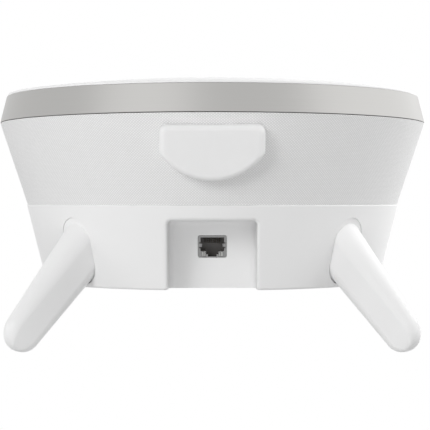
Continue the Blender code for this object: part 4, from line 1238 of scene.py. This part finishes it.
@dataclass
class Base:
    """Moulded base with the port recess, the leg sockets and the vented rear cover.

    Posts and screws are placed by spots of (degrees from the recess, radius), each on both sides.
    """

    shop: Workshop
    facets: int = 120
    rear_edge: float = 0.0016
    seam_edge: float = 0.0005
    rim_steps: int = 5
    recess_corner: float = 0.0020
    recess_fillet: float = 0.0030
    fillet_steps: int = 6
    mouth_round: float = 0.0018
    mouth_steps: int = 4
    edge_round: float = 0.0003
    edge_steps: int = 2
    socket_points: int = 48
    shelf_width: float = 0.0093
    shelf_thickness: float = 0.0050
    vent_radius: float = 0.0360
    vent_rows: int = 11
    vent_pitch: float = 0.0060
    vent_width: float = 0.0026
    vent_cut: float = 0.0100
    button_facets: int = 48
    post_height: float = 0.0080
    post_radius: float = 0.0035
    post_facets: int = 24
    post_spots: tuple[tuple[float, float], ...] = ((60.0, 0.06295), (130.0, 0.06295))
    screw_radius: float = 0.0012
    screw_head_radius: float = 0.0025
    screw_head_height: float = 0.0012
    screw_head_round: float = 0.0009
    screw_head_steps: int = 4
    screw_length: float = 0.0065
    screw_head_facets: int = 32
    screw_hole_facets: int = 24
    screw_turn: float = 0.35  # radians
    screw_spots: tuple[tuple[float, float], ...] = ((26.41, 0.08482), (120.0, 0.08482))
    cross_arm: float = 0.0013
    cross_width: float = 0.0005
    cross_depth: float = 0.0007

    def recess_block(self, name: str, wall: float) -> Piece:
        """Makes the space of the port recess, open to the rear and to the underside.

        Args:
            name: Name of the block.
            wall: How much it is grown.

        Returns:
            The block.
        """
        back, fillet = HULL.recess_back - wall, self.recess_fillet
        levels = [(fillet * (1 - math.sin(turn)), back + fillet * (1 - math.cos(turn)))
                  for turn in quarter_turns(self.fillet_steps)]
        levels.append((0.0, HULL.ring_rear_radius))
        rings = []
        for inset, depth in levels:
            outline = rectangle(HULL.recess_width + 2 * (wall - inset), -HULL.recess_height,
                                HULL.recess_height + wall - inset, self.recess_corner)
            rings.append([Vector((x, y, depth)) for x, y in outline])
        return add_object(name, loft(rings), UNDERSIDE)

    def socket_blocks(self, name: str, wall: float) -> list[Piece]:
        """Makes the spaces of the two leg sockets.

        Args:
            name: First part of their names.
            wall: How much they are grown.

        Returns:
            The two blocks.
        """
        outline = stadium(HULL.socket_width + 2 * wall, HULL.socket_height + 2 * wall, self.socket_points)
        blocks = []
        for side in Side:
            turn = HULL.socket_turn(side)
            floor = polar(HULL.socket_floor(), turn, HULL.socket_middle())
            mesh = prism([outline], -wall, HULL.ring_rear_radius - HULL.socket_floor())
            blocks.append(add_object(f"{name}_{side.name}", mesh, Matrix.Translation(floor) @ outward(turn)))
        return blocks

    @staticmethod
    def mirrored_spots(spots: Sequence[tuple[float, float]], z: float = 0.0) -> list[Vector]:
        """Gives the points at spots of (degrees, radius), each on the left and on the right."""
        return [polar(radius, side.value * math.radians(angle), z)
                for angle, radius in spots for side in Side]

    def screw_places(self) -> list[Vector]:
        """Gives the seats of the rear cover's screws, under their heads."""
        return self.mirrored_spots(self.screw_spots, HULL.rear_inset + self.screw_head_height)

    def build_shell(self) -> None:
        """Builds the base shell, with soft edges round the recess."""
        wall, front = HULL.base_wall, HULL.base_front
        outer = rounded([(0.0, 0.0, 0), (HULL.base_rear_radius, 0.0, self.rear_edge),
                         (HULL.base_front_radius, front, self.seam_edge), (0.0, front, 0)], self.rim_steps)
        shell = add_object("base_body", stack(outer[1:-1], self.facets))
        shelf_rear = HULL.rear_inset + HULL.rear_plate + HULL.gap
        shelf_front = shelf_rear + self.shelf_thickness
        shelf_bore = HULL.base_bore(shelf_rear) - self.shelf_width
        beyond = 2 * wall
        inside = [(HULL.base_bore(-beyond), -beyond), (HULL.base_bore(shelf_rear), shelf_rear),
                  (shelf_bore, shelf_rear), (shelf_bore, shelf_front),
                  (HULL.base_bore(shelf_front), shelf_front),
                  (HULL.base_bore(front + beyond), front + beyond)]
        hollow = add_object("base_hollow", stack(inside, self.facets))
        carve(hollow, [self.recess_block("recess_wall", wall), *self.socket_blocks("socket_wall", wall)])
        carve(shell, [hollow, self.recess_block("recess", 0.0)])
        half = HULL.recess_width / 2 + HULL.gap

        def at_mouth(point: Vector) -> bool:
            """Tells whether a point lies on the recess's outer edges."""
            outer_edge = math.hypot(point.x, point.y) > HULL.base_radius(point.z) - 2 * self.rear_edge
            return abs(point.x) < half and point.y < 0 and outer_edge

        soften(shell, self.mouth_round, self.mouth_steps, at_mouth)
        opening = prism([HULL.nose(-HULL.nose_clear)], HULL.recess_back - 2 * wall, HULL.recess_back + wall)
        carve(shell, [*self.socket_blocks("socket", 0.0), add_object("window", opening, UNDERSIDE)])
        reach = HULL.nose_width / 2 + HULL.nose_clear + MERGE_DISTANCE

        def at_window(point: Vector) -> bool:
            """Tells whether a point lies on the front edge of the socket's window."""
            on_back = abs(point.y + HULL.recess_back) < MERGE_DISTANCE
            return on_back and abs(point.x) < reach and point.z > wall

        soften(shell, self.edge_round, self.edge_steps, at_window)
        self.shop.complete(shell, Body.HOUSING, "base", ["base_shell"], "base_white")

    def build_rear_cover(self) -> None:
        """Builds the flat rear cover with its vents, notches, posts and screw seats."""
        rear, inner = HULL.rear_inset, HULL.rear_inset + HULL.rear_plate
        radius = HULL.base_bore(rear) - HULL.gap
        cover = add_object("rear_panel", stack([(radius, rear), (radius, inner)], self.facets))
        posts = [circle(self.post_radius, self.post_facets, place.xy)
                 for place in self.mirrored_spots(self.post_spots)]
        bosses = add_object("board_posts", prism(posts, rear + HULL.rear_plate / 2, inner + self.post_height))
        carve(cover, [bosses], Cut.JOIN)
        values = {"Field Radius": self.vent_radius, "Rows": self.vent_rows, "Pitch": self.vent_pitch,
                  "Width": self.vent_width, "Depth": self.vent_cut,
                  "Finish": self.shop.finishes["base_white"]}
        vents = grow("vent_slots", bpy.data.meshes.new("vent_slots"), self.shop.trees.slots, values)
        through = inner + HULL.gap
        button = prism([circle(HULL.button_radius + HULL.gap, self.button_facets)], 0.0, through)
        heads = [circle(self.screw_head_radius + HULL.gap, self.screw_head_facets, place.xy)
                 for place in self.screw_places()]
        shanks = [circle(self.screw_radius + HULL.gap, self.screw_hole_facets, place.xy)
                  for place in self.screw_places()]
        clear = HULL.base_wall + HULL.gap
        carve(cover, [self.recess_block("recess_notch", clear), *self.socket_blocks("socket_notch", clear),
                      vents,
                      add_object("button_hole", button, Matrix.Translation((0.0, HULL.button_offset, 0.0))),
                      add_object("head_seats", prism(heads, 0.0, rear + self.screw_head_height + HULL.gap)),
                      add_object("shank_holes", prism(shanks, 0.0, through))])

        def at_rear(point: Vector) -> bool:
            """Tells whether a point lies on the cover's rear face."""
            return point.z < rear + MERGE_DISTANCE

        soften(cover, self.edge_round, self.edge_steps, at_rear)
        self.shop.complete(cover, Body.HOUSING, "base", ["rear_cover"], "base_white")

    def build_screws(self) -> None:
        """Builds the cover's screws, with crowned heads and cross recesses."""
        top, shank, radius = -self.screw_head_height, self.screw_length, self.screw_radius
        corners = [(0.0, top, 0), (self.screw_head_radius, top, self.screw_head_round),
                   (self.screw_head_radius, 0.0, 0), (radius, 0.0, 0), (radius, shank - radius, 0),
                   (0.0, shank, 0)]
        profile = rounded(corners, self.screw_head_steps)
        part = self.shop.turn("screw_part", profile, "screw_zinc", self.screw_head_facets, closed=False)
        arm, half = self.cross_arm, self.cross_width / 2
        cross = [rectangle(self.cross_width, -arm, arm), rectangle(2 * arm, -half, half)]
        carve(part, [add_object(f"cross_{index}", prism([bar], 2 * top, top + self.cross_depth))
                     for index, bar in enumerate(cross)])
        smooth(part)
        places = [tuple(place) for place in self.screw_places()]
        seats = bpy.data.meshes.new("screw_seats")
        seats.from_pydata(places, [], [])
        values = {"Part": part, "Turn": (0.0, 0.0, self.screw_turn),
                  "Finish": self.shop.finishes["screw_zinc"]}
        screws = grow("cover_screws", seats, self.shop.trees.repeated, values)
        bpy.data.objects.remove(part, do_unlink=True)
        self.shop.complete(screws, Body.HOUSING, "screw", numbered("cover_screw", len(places)))

    def build(self) -> None:
        """Builds the whole base."""
        self.build_shell()
        self.build_rear_cover()
        self.build_screws()


@dataclass
class PairButton:
    """Push button in the rear cover."""

    shop: Workshop
    proud: float = 0.0003
    dish: float = 0.0003
    dish_steps: int = 4
    edge: float = 0.0004
    edge_steps: int = 4
    facets: int = 64
    flange_radius: float = 0.0052
    flange_thickness: float = 0.0010
    stem_radius: float = 0.0015
    stem_end: float = 0.0060

    def build(self) -> None:
        """Builds the button with a dished face, a flange and a stem."""
        radius, face = HULL.button_radius, HULL.rear_inset - self.proud
        flange_rear = HULL.rear_inset + HULL.rear_plate + HULL.gap
        flange_front = flange_rear + self.flange_thickness
        shares = [step / self.dish_steps for step in range(self.dish_steps)]
        corners = [(radius * share, face + self.dish * (1 - share ** 2), 0) for share in shares]
        corners += [(radius, face, self.edge), (radius, flange_rear, 0), (self.flange_radius, flange_rear, 0),
                    (self.flange_radius, flange_front, 0), (self.stem_radius, flange_front, 0),
                    (self.stem_radius, self.stem_end, 0), (0.0, self.stem_end, 0)]
        profile = rounded(corners, self.edge_steps)
        button = self.shop.turn("button_cap", profile, "button_grey", self.facets, closed=False)
        button.data.transform(Matrix.Translation((0.0, HULL.button_offset, 0.0)))
        self.shop.complete(button, Body.BUTTON, "button", ["pair_button"])


@dataclass
class Legs:
    """Two plug-in legs, each a slot-shaped tongue that narrows to a flat-sided, rounded tip."""

    shop: Workshop
    reach: float = 0.0344
    drop: float = 0.0382
    tip_width: float = 0.0104
    tip_height: float = 0.0204
    points: int = 96
    steps: int = 12
    chamfer: float = 0.0008
    seat_shift: float = 0.0004
    rear_gap: float = 0.0004
    collar_setback: float = 0.0006
    collar_step: float = 0.0002
    collar_shelf: float = 0.0026

    def leg_rings(self) -> list[list[Vector]]:
        """Lays out the rings of a leg from the end of its tongue to its tip.

        Returns:
            The rings; x runs across the leg, y frontwards and z out of the socket from its floor.
        """
        gap, floor = HULL.gap, HULL.socket_floor()
        inset, root_inset = gap + self.chamfer, gap + self.collar_step
        width, height = HULL.socket_width, HULL.socket_height - self.rear_gap
        tongue = stadium(width - 2 * gap, height - 2 * gap, self.points)
        narrow = stadium(width - 2 * inset, height - 2 * inset, self.points)
        root = stadium(width - 2 * root_inset, height - 2 * root_inset - self.collar_shelf, self.points)
        tip = stadium(self.tip_width, self.tip_height, self.points)
        low = HULL.base_radius(HULL.socket_rim) - self.collar_setback - floor
        high = HULL.base_radius(HULL.socket_rim + HULL.socket_height) - self.collar_setback - floor

        def on_collar(x: float, y: float) -> Vector:
            """Gives a point on the collar's face."""
            return Vector((x, y, (low + high) / 2 + (high - low) * y / height))

        tip_centre = Vector((0.0, -self.drop, HULL.socket_depth + self.reach))
        along = (tip_centre - on_collar(0.0, 0.0)).normalized()
        across = Vector((1.0, 0.0, 0.0))
        above = along.cross(across)
        tip_round = self.tip_height / 2
        rings = [[Vector((x, y, gap)) for x, y in narrow], [Vector((x, y, inset)) for x, y in tongue]]
        rings.append([on_collar(x, y) for x, y in tongue])
        starts = [on_collar(x, y - self.collar_shelf / 2) for x, y in root]
        ends = [tip_centre + across * x + above * y for x, y in tip]
        for step in range(self.steps + 1):
            share = step / self.steps
            rings.append([start.lerp(end, share) for start, end in zip(starts, ends)])
        for turn in quarter_turns(self.steps)[1:-1]:
            middle = tip_centre + along * tip_round * math.sin(turn)
            narrowing = math.sqrt(math.cos(turn))
            rings.append([middle + across * x * narrowing + above * y * math.cos(turn) for x, y in tip])
        rings.append([tip_centre + along * tip_round])
        return rings

    def build(self) -> None:
        """Builds both legs."""
        for side, body in ((Side.LEFT, Body.LEG_LEFT), (Side.RIGHT, Body.LEG_RIGHT)):
            turn = HULL.socket_turn(side)
            middle = HULL.socket_middle() + self.seat_shift
            seat = Matrix.Translation(polar(HULL.socket_floor(), turn, middle))
            leg = add_object(f"{body.value}_post", loft(self.leg_rings()), seat @ outward(turn))
            self.shop.complete(leg, body, "leg", [body.value], "leg_white")


@dataclass
class FrontFoot:
    """Soft tab under the front edge, level with the leg tips."""

    shop: Workshop
    width: float = 0.0497
    length: float = 0.0267
    side: float = 0.0135
    front: float = 0.0786
    corner: float = 0.0036
    heel_blend: float = 0.0050
    heel_steps: int = 24
    edge: float = 0.0030
    edge_steps: int = 6
    trim_facets: int = 180

    def outline(self, inset: float) -> list[Vector]:
        """Draws the foot's outline: square front, straight sides and an arched heel.

        Args:
            inset: How far it is drawn inwards.

        Returns:
            The points of the outline.
        """
        half = self.width / 2 - inset
        rise = self.length - self.side - inset
        radius = (half ** 2 + rise ** 2) / (2 * rise)
        sweep = math.asin(half / radius)
        heel = []
        for step in range(1, self.heel_steps):
            turn = sweep * (1 - 2 * step / self.heel_steps)
            heel.append((radius * math.sin(turn), inset + radius - self.length - radius * math.cos(turn), 0))
        corner = self.corner - inset / 2
        sides = [(-half, -self.side, self.heel_blend), (-half, -inset, corner), (half, -inset, corner),
                 (half, -self.side, self.heel_blend)]
        return rounded(sides + heel)

    def build(self) -> None:
        """Builds the foot, trimmed to the sleeve."""
        tilt = math.radians(90.0 - STAND.lean)
        floor = (STAND.z + self.front * math.sin(tilt)) / math.cos(tilt)
        rings = [[Vector((a, b, -STAND.z)) for a, b in self.outline(0.0)]]
        for turn in quarter_turns(self.edge_steps):
            inset = self.edge * (1 - math.cos(turn))
            level = self.edge * (math.sin(turn) - 1)
            rings.append([Vector((a, b, level)) for a, b in self.outline(inset)])
        place = Matrix.Translation((0.0, -floor, self.front)) @ outward(0.0, tilt)
        foot = add_object("foot_tab", loft(rings), place)
        sleeve = [(HULL.cloth_radius(z), z) for z in (0.0, HULL.ring_front)]
        carve(foot, [add_object("foot_trim", stack(sleeve, self.trim_facets))])
        self.shop.complete(foot, Body.HOUSING, "foot", ["front_foot"], "foot_soft")


@dataclass
class NetworkSocket:
    """Network socket in the recess: metal shield with spring tabs, insert, contacts and light pipes.

    The pipes' bars are (inner, outer) edges on the right. A wire's bends are (depth behind the face,
    drop from the front of the cavity).
    """

    shop: Workshop
    face: float = 0.0685
    sheet: float = 0.0004
    clear: float = 0.0001
    can_width: float = 0.0158
    can_rear: float = 0.0142
    can_front: float = 0.0272
    can_face: float = 0.0667
    can_back: float = 0.0478
    plug_width: float = 0.01184
    plug_front: float = 0.02527
    plug_rear: float = 0.01844
    plug_depth: float = 0.0140
    latch_width: float = 0.0062
    latch_rear: float = 0.01684
    neck_width: float = 0.0043
    neck_rear: float = 0.0155
    tab_rear: float = 0.0205
    tab_front: float = 0.0222
    tab_slot: float = 0.0006
    tab_reach: float = 0.0009
    tab_dip: float = 0.0005
    pipe_bars: tuple[tuple[float, float], ...] = ((0.00345, 0.0040), (0.0043, 0.00525))
    pipe_rear: float = 0.0158
    pipe_front: float = 0.0180
    pipe_length: float = 0.0110
    wires: int = 8
    wire_pitch: float = 0.00102
    wire_size: float = 0.00045
    wire_bends: tuple[tuple[float, float], ...] = ((0.0020, -0.0001), (0.0034, 0.0006), (0.0115, 0.0028))

    def block(self, name: str, outlines: Sequence[Outline], back: float, front: float) -> Piece:
        """Makes blocks that run straight into the socket, between two distances from the body's axis."""
        return add_object(name, prism(outlines, back, front), UNDERSIDE)

    def mouth(self) -> list[Vector]:
        """Draws the mouth: the plug's space, with the two steps of its latch behind it.

        Returns:
            The points of the outline.
        """
        half, latch, neck = self.plug_width / 2, self.latch_width / 2, self.neck_width / 2
        right = [(neck, self.neck_rear), (neck, self.latch_rear), (latch, self.latch_rear),
                 (latch, self.plug_rear), (half, self.plug_rear), (half, self.plug_front)]
        return [Vector(point) for point in right] + [Vector((-x, y)) for x, y in reversed(right)]

    @staticmethod
    def both_sides(inner: float, outer: float, low: float, high: float) -> list[list[Vector]]:
        """Draws a rectangle on the left and on the right, from its edges on the right."""
        right = [(inner, low), (outer, low), (outer, high), (inner, high)]
        return [[Vector((side.value * x, y)) for x, y in right] for side in Side]

    def bars(self, grown: float) -> list[list[Vector]]:
        """Draws the bars of both light pipes.

        Args:
            grown: How far they are grown on all sides.

        Returns:
            The outlines.
        """
        low, high = self.pipe_rear - grown, self.pipe_front + grown
        outlines = []
        for inner, outer in self.pipe_bars:
            outlines += self.both_sides(inner - grown, outer + grown, low, high)
        return outlines

    def tab_slots(self) -> list[list[Vector]]:
        """Draws the slots over and under the spring tabs.

        Returns:
            The outlines.
        """
        inner, outer = self.plug_width / 2 - self.clear, HULL.nose_width / 2 - self.sheet - self.clear
        slots = []
        for low in (self.tab_rear - self.tab_slot, self.tab_front):
            slots += self.both_sides(inner, outer, low, low + self.tab_slot)
        return slots

    def plate_holes(self) -> list[list[Vector]]:
        """Draws the front plate's light windows and the slots over and under its spring tabs.

        Returns:
            The outlines.
        """
        grown = 2 * self.clear
        windows = self.both_sides(self.pipe_bars[0][0] - grown, self.pipe_bars[-1][1] + grown,
                                  self.pipe_rear - grown, self.pipe_front + grown)
        return windows + self.tab_slots()

    def build_shield(self) -> None:
        """Builds the shield: a can, a nose with a windowed front plate, and a spring tab on each side."""
        sheet, face = self.sheet, self.face
        can = rectangle(self.can_width, self.can_rear, self.can_front)
        shield = self.block("socket_shield", [can], self.can_back, self.can_face)
        carve(shield, [self.block("nose", [HULL.nose(0.0)], self.can_back + sheet, face)], Cut.JOIN)
        carve(shield, [self.block("hollow", [HULL.nose(sheet)], self.can_back + sheet, face - sheet),
                       self.block("mouth", [self.mouth()], face - 2 * sheet, face + sheet),
                       self.block("plate_holes", self.plate_holes(), face - 2 * sheet, face + sheet)])
        edge = self.plug_width / 2
        root, end, dip = edge + sheet, edge - self.tab_reach, face - self.tab_dip
        bend = [(root, face), (edge, face), (end, dip), (end, dip - sheet), (edge, face - sheet),
                (root, face - sheet)]
        tabs = [[Vector((side.value * x, -depth)) for x, depth in bend] for side in Side]
        carve(shield, [add_object("spring_tabs", prism(tabs, self.tab_rear, self.tab_front))], Cut.JOIN)
        self.shop.complete(shield, Body.HOUSING, "shield", ["jack_shield"], "shield_tin")

    def build_insert(self) -> None:
        """Builds the insert with the plug's cavity and the pockets of the light pipes and spring tabs."""
        inset = self.sheet + self.clear
        front = self.face - inset
        insert = self.block("socket_insert", [HULL.nose(inset)], self.can_back + inset, front)
        carve(insert, [self.block("cavity", [self.mouth()], self.face - self.plug_depth, self.face),
                       self.block("pockets", self.bars(self.clear), front - self.pipe_length, self.face),
                       self.block("tab_pockets", self.tab_slots(), front - self.pipe_length / 2, self.face)])
        # its grey finish is painted light in the cavity, over black plastic
        self.shop.complete(insert, Body.HOUSING, "black", ["jack_insert"], "insert_dark")

    def build_contacts(self) -> None:
        """Builds the comb of contacts, which slope down from the front of the cavity."""
        route = [(0.0, depth - self.face, self.plug_front - drop) for depth, drop in self.wire_bends]
        values = {"Count": self.wires, "Pitch": self.wire_pitch, "Thickness": self.wire_size,
                  # their dark brown finish is painted shade, over plated gold
                  "Finish": self.shop.finishes["contact_gold"]}
        comb = grow("socket_contacts", chain("contact_route", route, False), self.shop.trees.comb, values)
        self.shop.complete(comb, Body.HOUSING, "contact", numbered("jack_contact", self.wires))

    def build_pipes(self) -> None:
        """Builds the light pipes beside the latch."""
        back, front = self.face - self.pipe_length, self.face - self.clear
        pipes = self.block("socket_pipes", self.bars(0.0), back, front)
        nodes = ["jack_light_left", "jack_light_right"]
        self.shop.complete(pipes, Body.HOUSING, "light", nodes, "pipe_clear")

    def build(self) -> None:
        """Builds the whole socket."""
        self.build_shield()
        self.build_insert()
        self.build_contacts()
        self.build_pipes()


@dataclass
class InnerParts:
    """CAD nodes that keep their own shapes and get a finish."""

    shop: Workshop
    looks: tuple[tuple[str, str], ...] = (
        ("upper_shell", "inner_grey"), ("antenna_frame", "inner_grey"), ("main_board", "board_mask"),
        ("light_board", "board_mask"), ("processor", "chip_black"), ("memory_chip", "chip_black"),
        ("pair_switch", "chip_black"), ("radio_can", "shield_tin"), ("heat_sink", "sink_aluminium"),
        ("thermal_pad", "pad_blue"), ("power_transformer", "ferrite_black"),
        ("power_capacitor", "capacitor_sleeve"), ("antenna_cable", "cable_black"),
        ("antenna_", "antenna_tin"), ("board_screw", "screw_zinc"), ("frame_screw", "screw_zinc"),
        ("foot_screw", "screw_zinc"),
    )

    def dress(self, nodes: dict[str, Piece]) -> None:
        """Gives each node the finish of the first name that it starts with.

        Args:
            nodes: The frame's nodes by name.
        """
        for name, node in nodes.items():
            finish = next((look for start, look in self.looks if name.startswith(start)), None)
            if finish is not None:
                self.shop.paint(node, finish)
                LOG.info("%s: its own CAD shape, with %s", name, finish)


class Glow(Enum):
    """What a lamp does: it lights surfaces, or it is only mirrored in them."""

    LIGHT = "light"
    MIRRORED = "mirrored"


@dataclass(frozen=True)
class Lamp:
    """One soft square lamp, hung in a direction from the middle of the body."""

    name: str
    direction: tuple[float, float, float]
    size: float
    level: float
    glow: Glow = Glow.LIGHT
    distance: float = 1.1

    def power(self) -> float:
        """Works out the power from the level.

        Returns:
            Watts. The level of a light is what a white surface that faces it shows, and the level of a
            mirrored lamp is its own brightness, each as a share of white.
        """
        if self.glow is Glow.LIGHT:
            return self.level * (math.pi * self.distance) ** 2
        return self.level * math.pi * self.size ** 2

    def build(self, middle: Vector) -> None:
        """Hangs the lamp, aimed at the body and out of the picture.

        Args:
            middle: Middle of the body.
        """
        data = bpy.data.lights.new(self.name, "AREA")
        data.shape = "SQUARE"
        data.size = self.size
        data.energy = self.power()
        way = Vector(self.direction).normalized()
        lamp = link_object(self.name, data)
        lamp.location = middle + way * self.distance
        lamp.rotation_euler = (-way).to_track_quat("-Z", "Y").to_euler()
        lamp.visible_camera = False
        lamp.visible_glossy = self.glow is Glow.MIRRORED
        lamp.visible_diffuse = self.glow is Glow.LIGHT


@dataclass
class Studio:
    """White backdrop, pale floor, soft lamps and the camera."""

    ambient: float = 0.41
    backdrop: Colour = (1.0, 1.0, 1.0)
    floor_colour: Colour = (0.80, 0.80, 0.80)
    floor_roughness: float = 0.9
    floor_size: float = 6.0
    floor_fade: tuple[float, float] = (0.20, 0.75)
    camera_distance: float = 0.769
    camera_station: float = 0.044
    sensor: float = 36.0
    lens: float = 117.2
    shift: tuple[float, float] = (0.0063, -0.0349)
    clip: tuple[float, float] = (0.01, 20.0)
    middle: tuple[float, float, float] = (0.0, 0.0, 0.11)
    lamps: tuple[Lamp, ...] = (
        Lamp("key_below", (-0.47, -0.45, -0.76), 0.45, 0.34),
        Lamp("rear_below", (0.0, 0.18, -0.98), 0.60, 0.20),
        Lamp("rim_right", (0.75, -0.63, 0.01), 0.45, 0.34),
        Lamp("rim_above", (0.72, -0.41, 0.53), 0.60, 0.38),
        Lamp("right_side", (0.97, -0.09, 0.07), 0.60, 0.14),
        Lamp("left_side", (-0.97, -0.11, -0.03), 0.60, 0.17),
        Lamp("key_above", (-0.50, -0.55, 0.70), 0.60, 0.10),
        Lamp("fill_above", (0.30, 0.70, 0.65), 0.60, 0.22),
        Lamp("ring_left", (-0.50, -0.57, -0.60), 0.80, 0.45, Glow.MIRRORED),
        Lamp("ring_right", (0.89, -0.352, 0.306), 2.20, 0.50, Glow.MIRRORED),
    )

    def build_world(self) -> None:
        """Makes a world that is white to look at and softer as a light."""
        world = bpy.data.worlds.new("studio")
        bpy.context.scene.world = world
        world.use_nodes = True
        graph = Graph(world.node_tree)
        path = graph.add("ShaderNodeLightPath").outputs
        mirrored = graph.math("MAXIMUM", path["Is Glossy Ray"], path["Is Transmission Ray"])
        seen = graph.math("MAXIMUM", path["Is Camera Ray"], mirrored)
        strength = graph.math("MULTIPLY_ADD", seen, 1.0 - self.ambient, self.ambient)
        background = world.node_tree.nodes["Background"]
        graph.fill(background, {"Color": (*self.backdrop, 1.0), "Strength": strength})

    def build_floor(self) -> None:
        """Lays a pale floor that fades into the backdrop and is clear from below."""
        half = self.floor_size / 2
        corners = [(-half, -half, 0), (half, -half, 0), (half, half, 0), (-half, half, 0)]
        data = bpy.data.meshes.new("floor")
        data.from_pydata(corners, [], [(0, 1, 2, 3)])
        floor = link_object("floor", data)
        graph, shader, material = new_material("floor_pale")
        graph.fill(shader, {"Base Color": (*self.floor_colour, 1.0), "Roughness": self.floor_roughness})
        back = graph.add("ShaderNodeNewGeometry").outputs["Backfacing"]
        away = graph.add("ShaderNodeVectorMath", {0: graph.object_point()}, operation="LENGTH")
        near, far = self.floor_fade
        fade_inputs = {"Value": away.outputs["Value"], "From Min": near, "From Max": far}
        fade = graph.add("ShaderNodeMapRange", fade_inputs, interpolation_type="SMOOTHSTEP")
        unseen = graph.math("MAXIMUM", back, fade.outputs["Result"])
        clear = graph.add("ShaderNodeBsdfTransparent")
        mix = graph.add("ShaderNodeMixShader", {0: unseen, 1: shader.outputs[0], 2: clear.outputs[0]})
        graph.fill(material.node_tree.nodes["Material Output"], {"Surface": mix.outputs[0]})
        data.materials.append(material)
        floor.visible_diffuse = False
        floor.visible_glossy = False
        floor.visible_transmission = False
        floor.visible_shadow = False

    def build_camera(self) -> None:
        """Sets up the camera square to the body's axis, on the underside."""
        data = bpy.data.cameras.new("camera")
        data.sensor_width = self.sensor
        data.lens = self.lens
        data.shift_x, data.shift_y = self.shift
        data.clip_start, data.clip_end = self.clip
        camera = link_object("camera", data)
        stand = STAND.matrix()
        back = (stand.to_3x3() @ Vector((0.0, -1.0, 0.0))).normalized()
        above = (stand.to_3x3() @ Vector((0.0, 0.0, 1.0))).normalized()
        turn = Matrix((above.cross(back), above, back)).transposed()
        place = stand @ Vector((0.0, -self.camera_distance, self.camera_station))
        camera.matrix_world = Matrix.Translation(place) @ turn.to_4x4()
        bpy.context.scene.camera = camera

    def build(self) -> None:
        """Builds the studio."""
        bpy.context.scene.view_settings.view_transform = "Standard"
        self.build_world()
        self.build_floor()
        self.build_camera()
        for lamp in self.lamps:
            lamp.build(Vector(self.middle))


def main() -> None:
    """Loads the frame, and builds and dresses every piece."""
    logging.basicConfig(level=logging.INFO, format="%(name)s: %(message)s")
    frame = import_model()
    shop = Workshop(Finishes(SurfaceGroups()), ShapeTrees())
    Studio().build()
    Face(shop).build()
    Sleeve(shop).build()
    Base(shop).build()
    PairButton(shop).build()
    Legs(shop).build()
    FrontFoot(shop).build()
    NetworkSocket(shop).build()
    InnerParts(shop).dress(frame["nodes"])


if __name__ == "__main__":
    main()
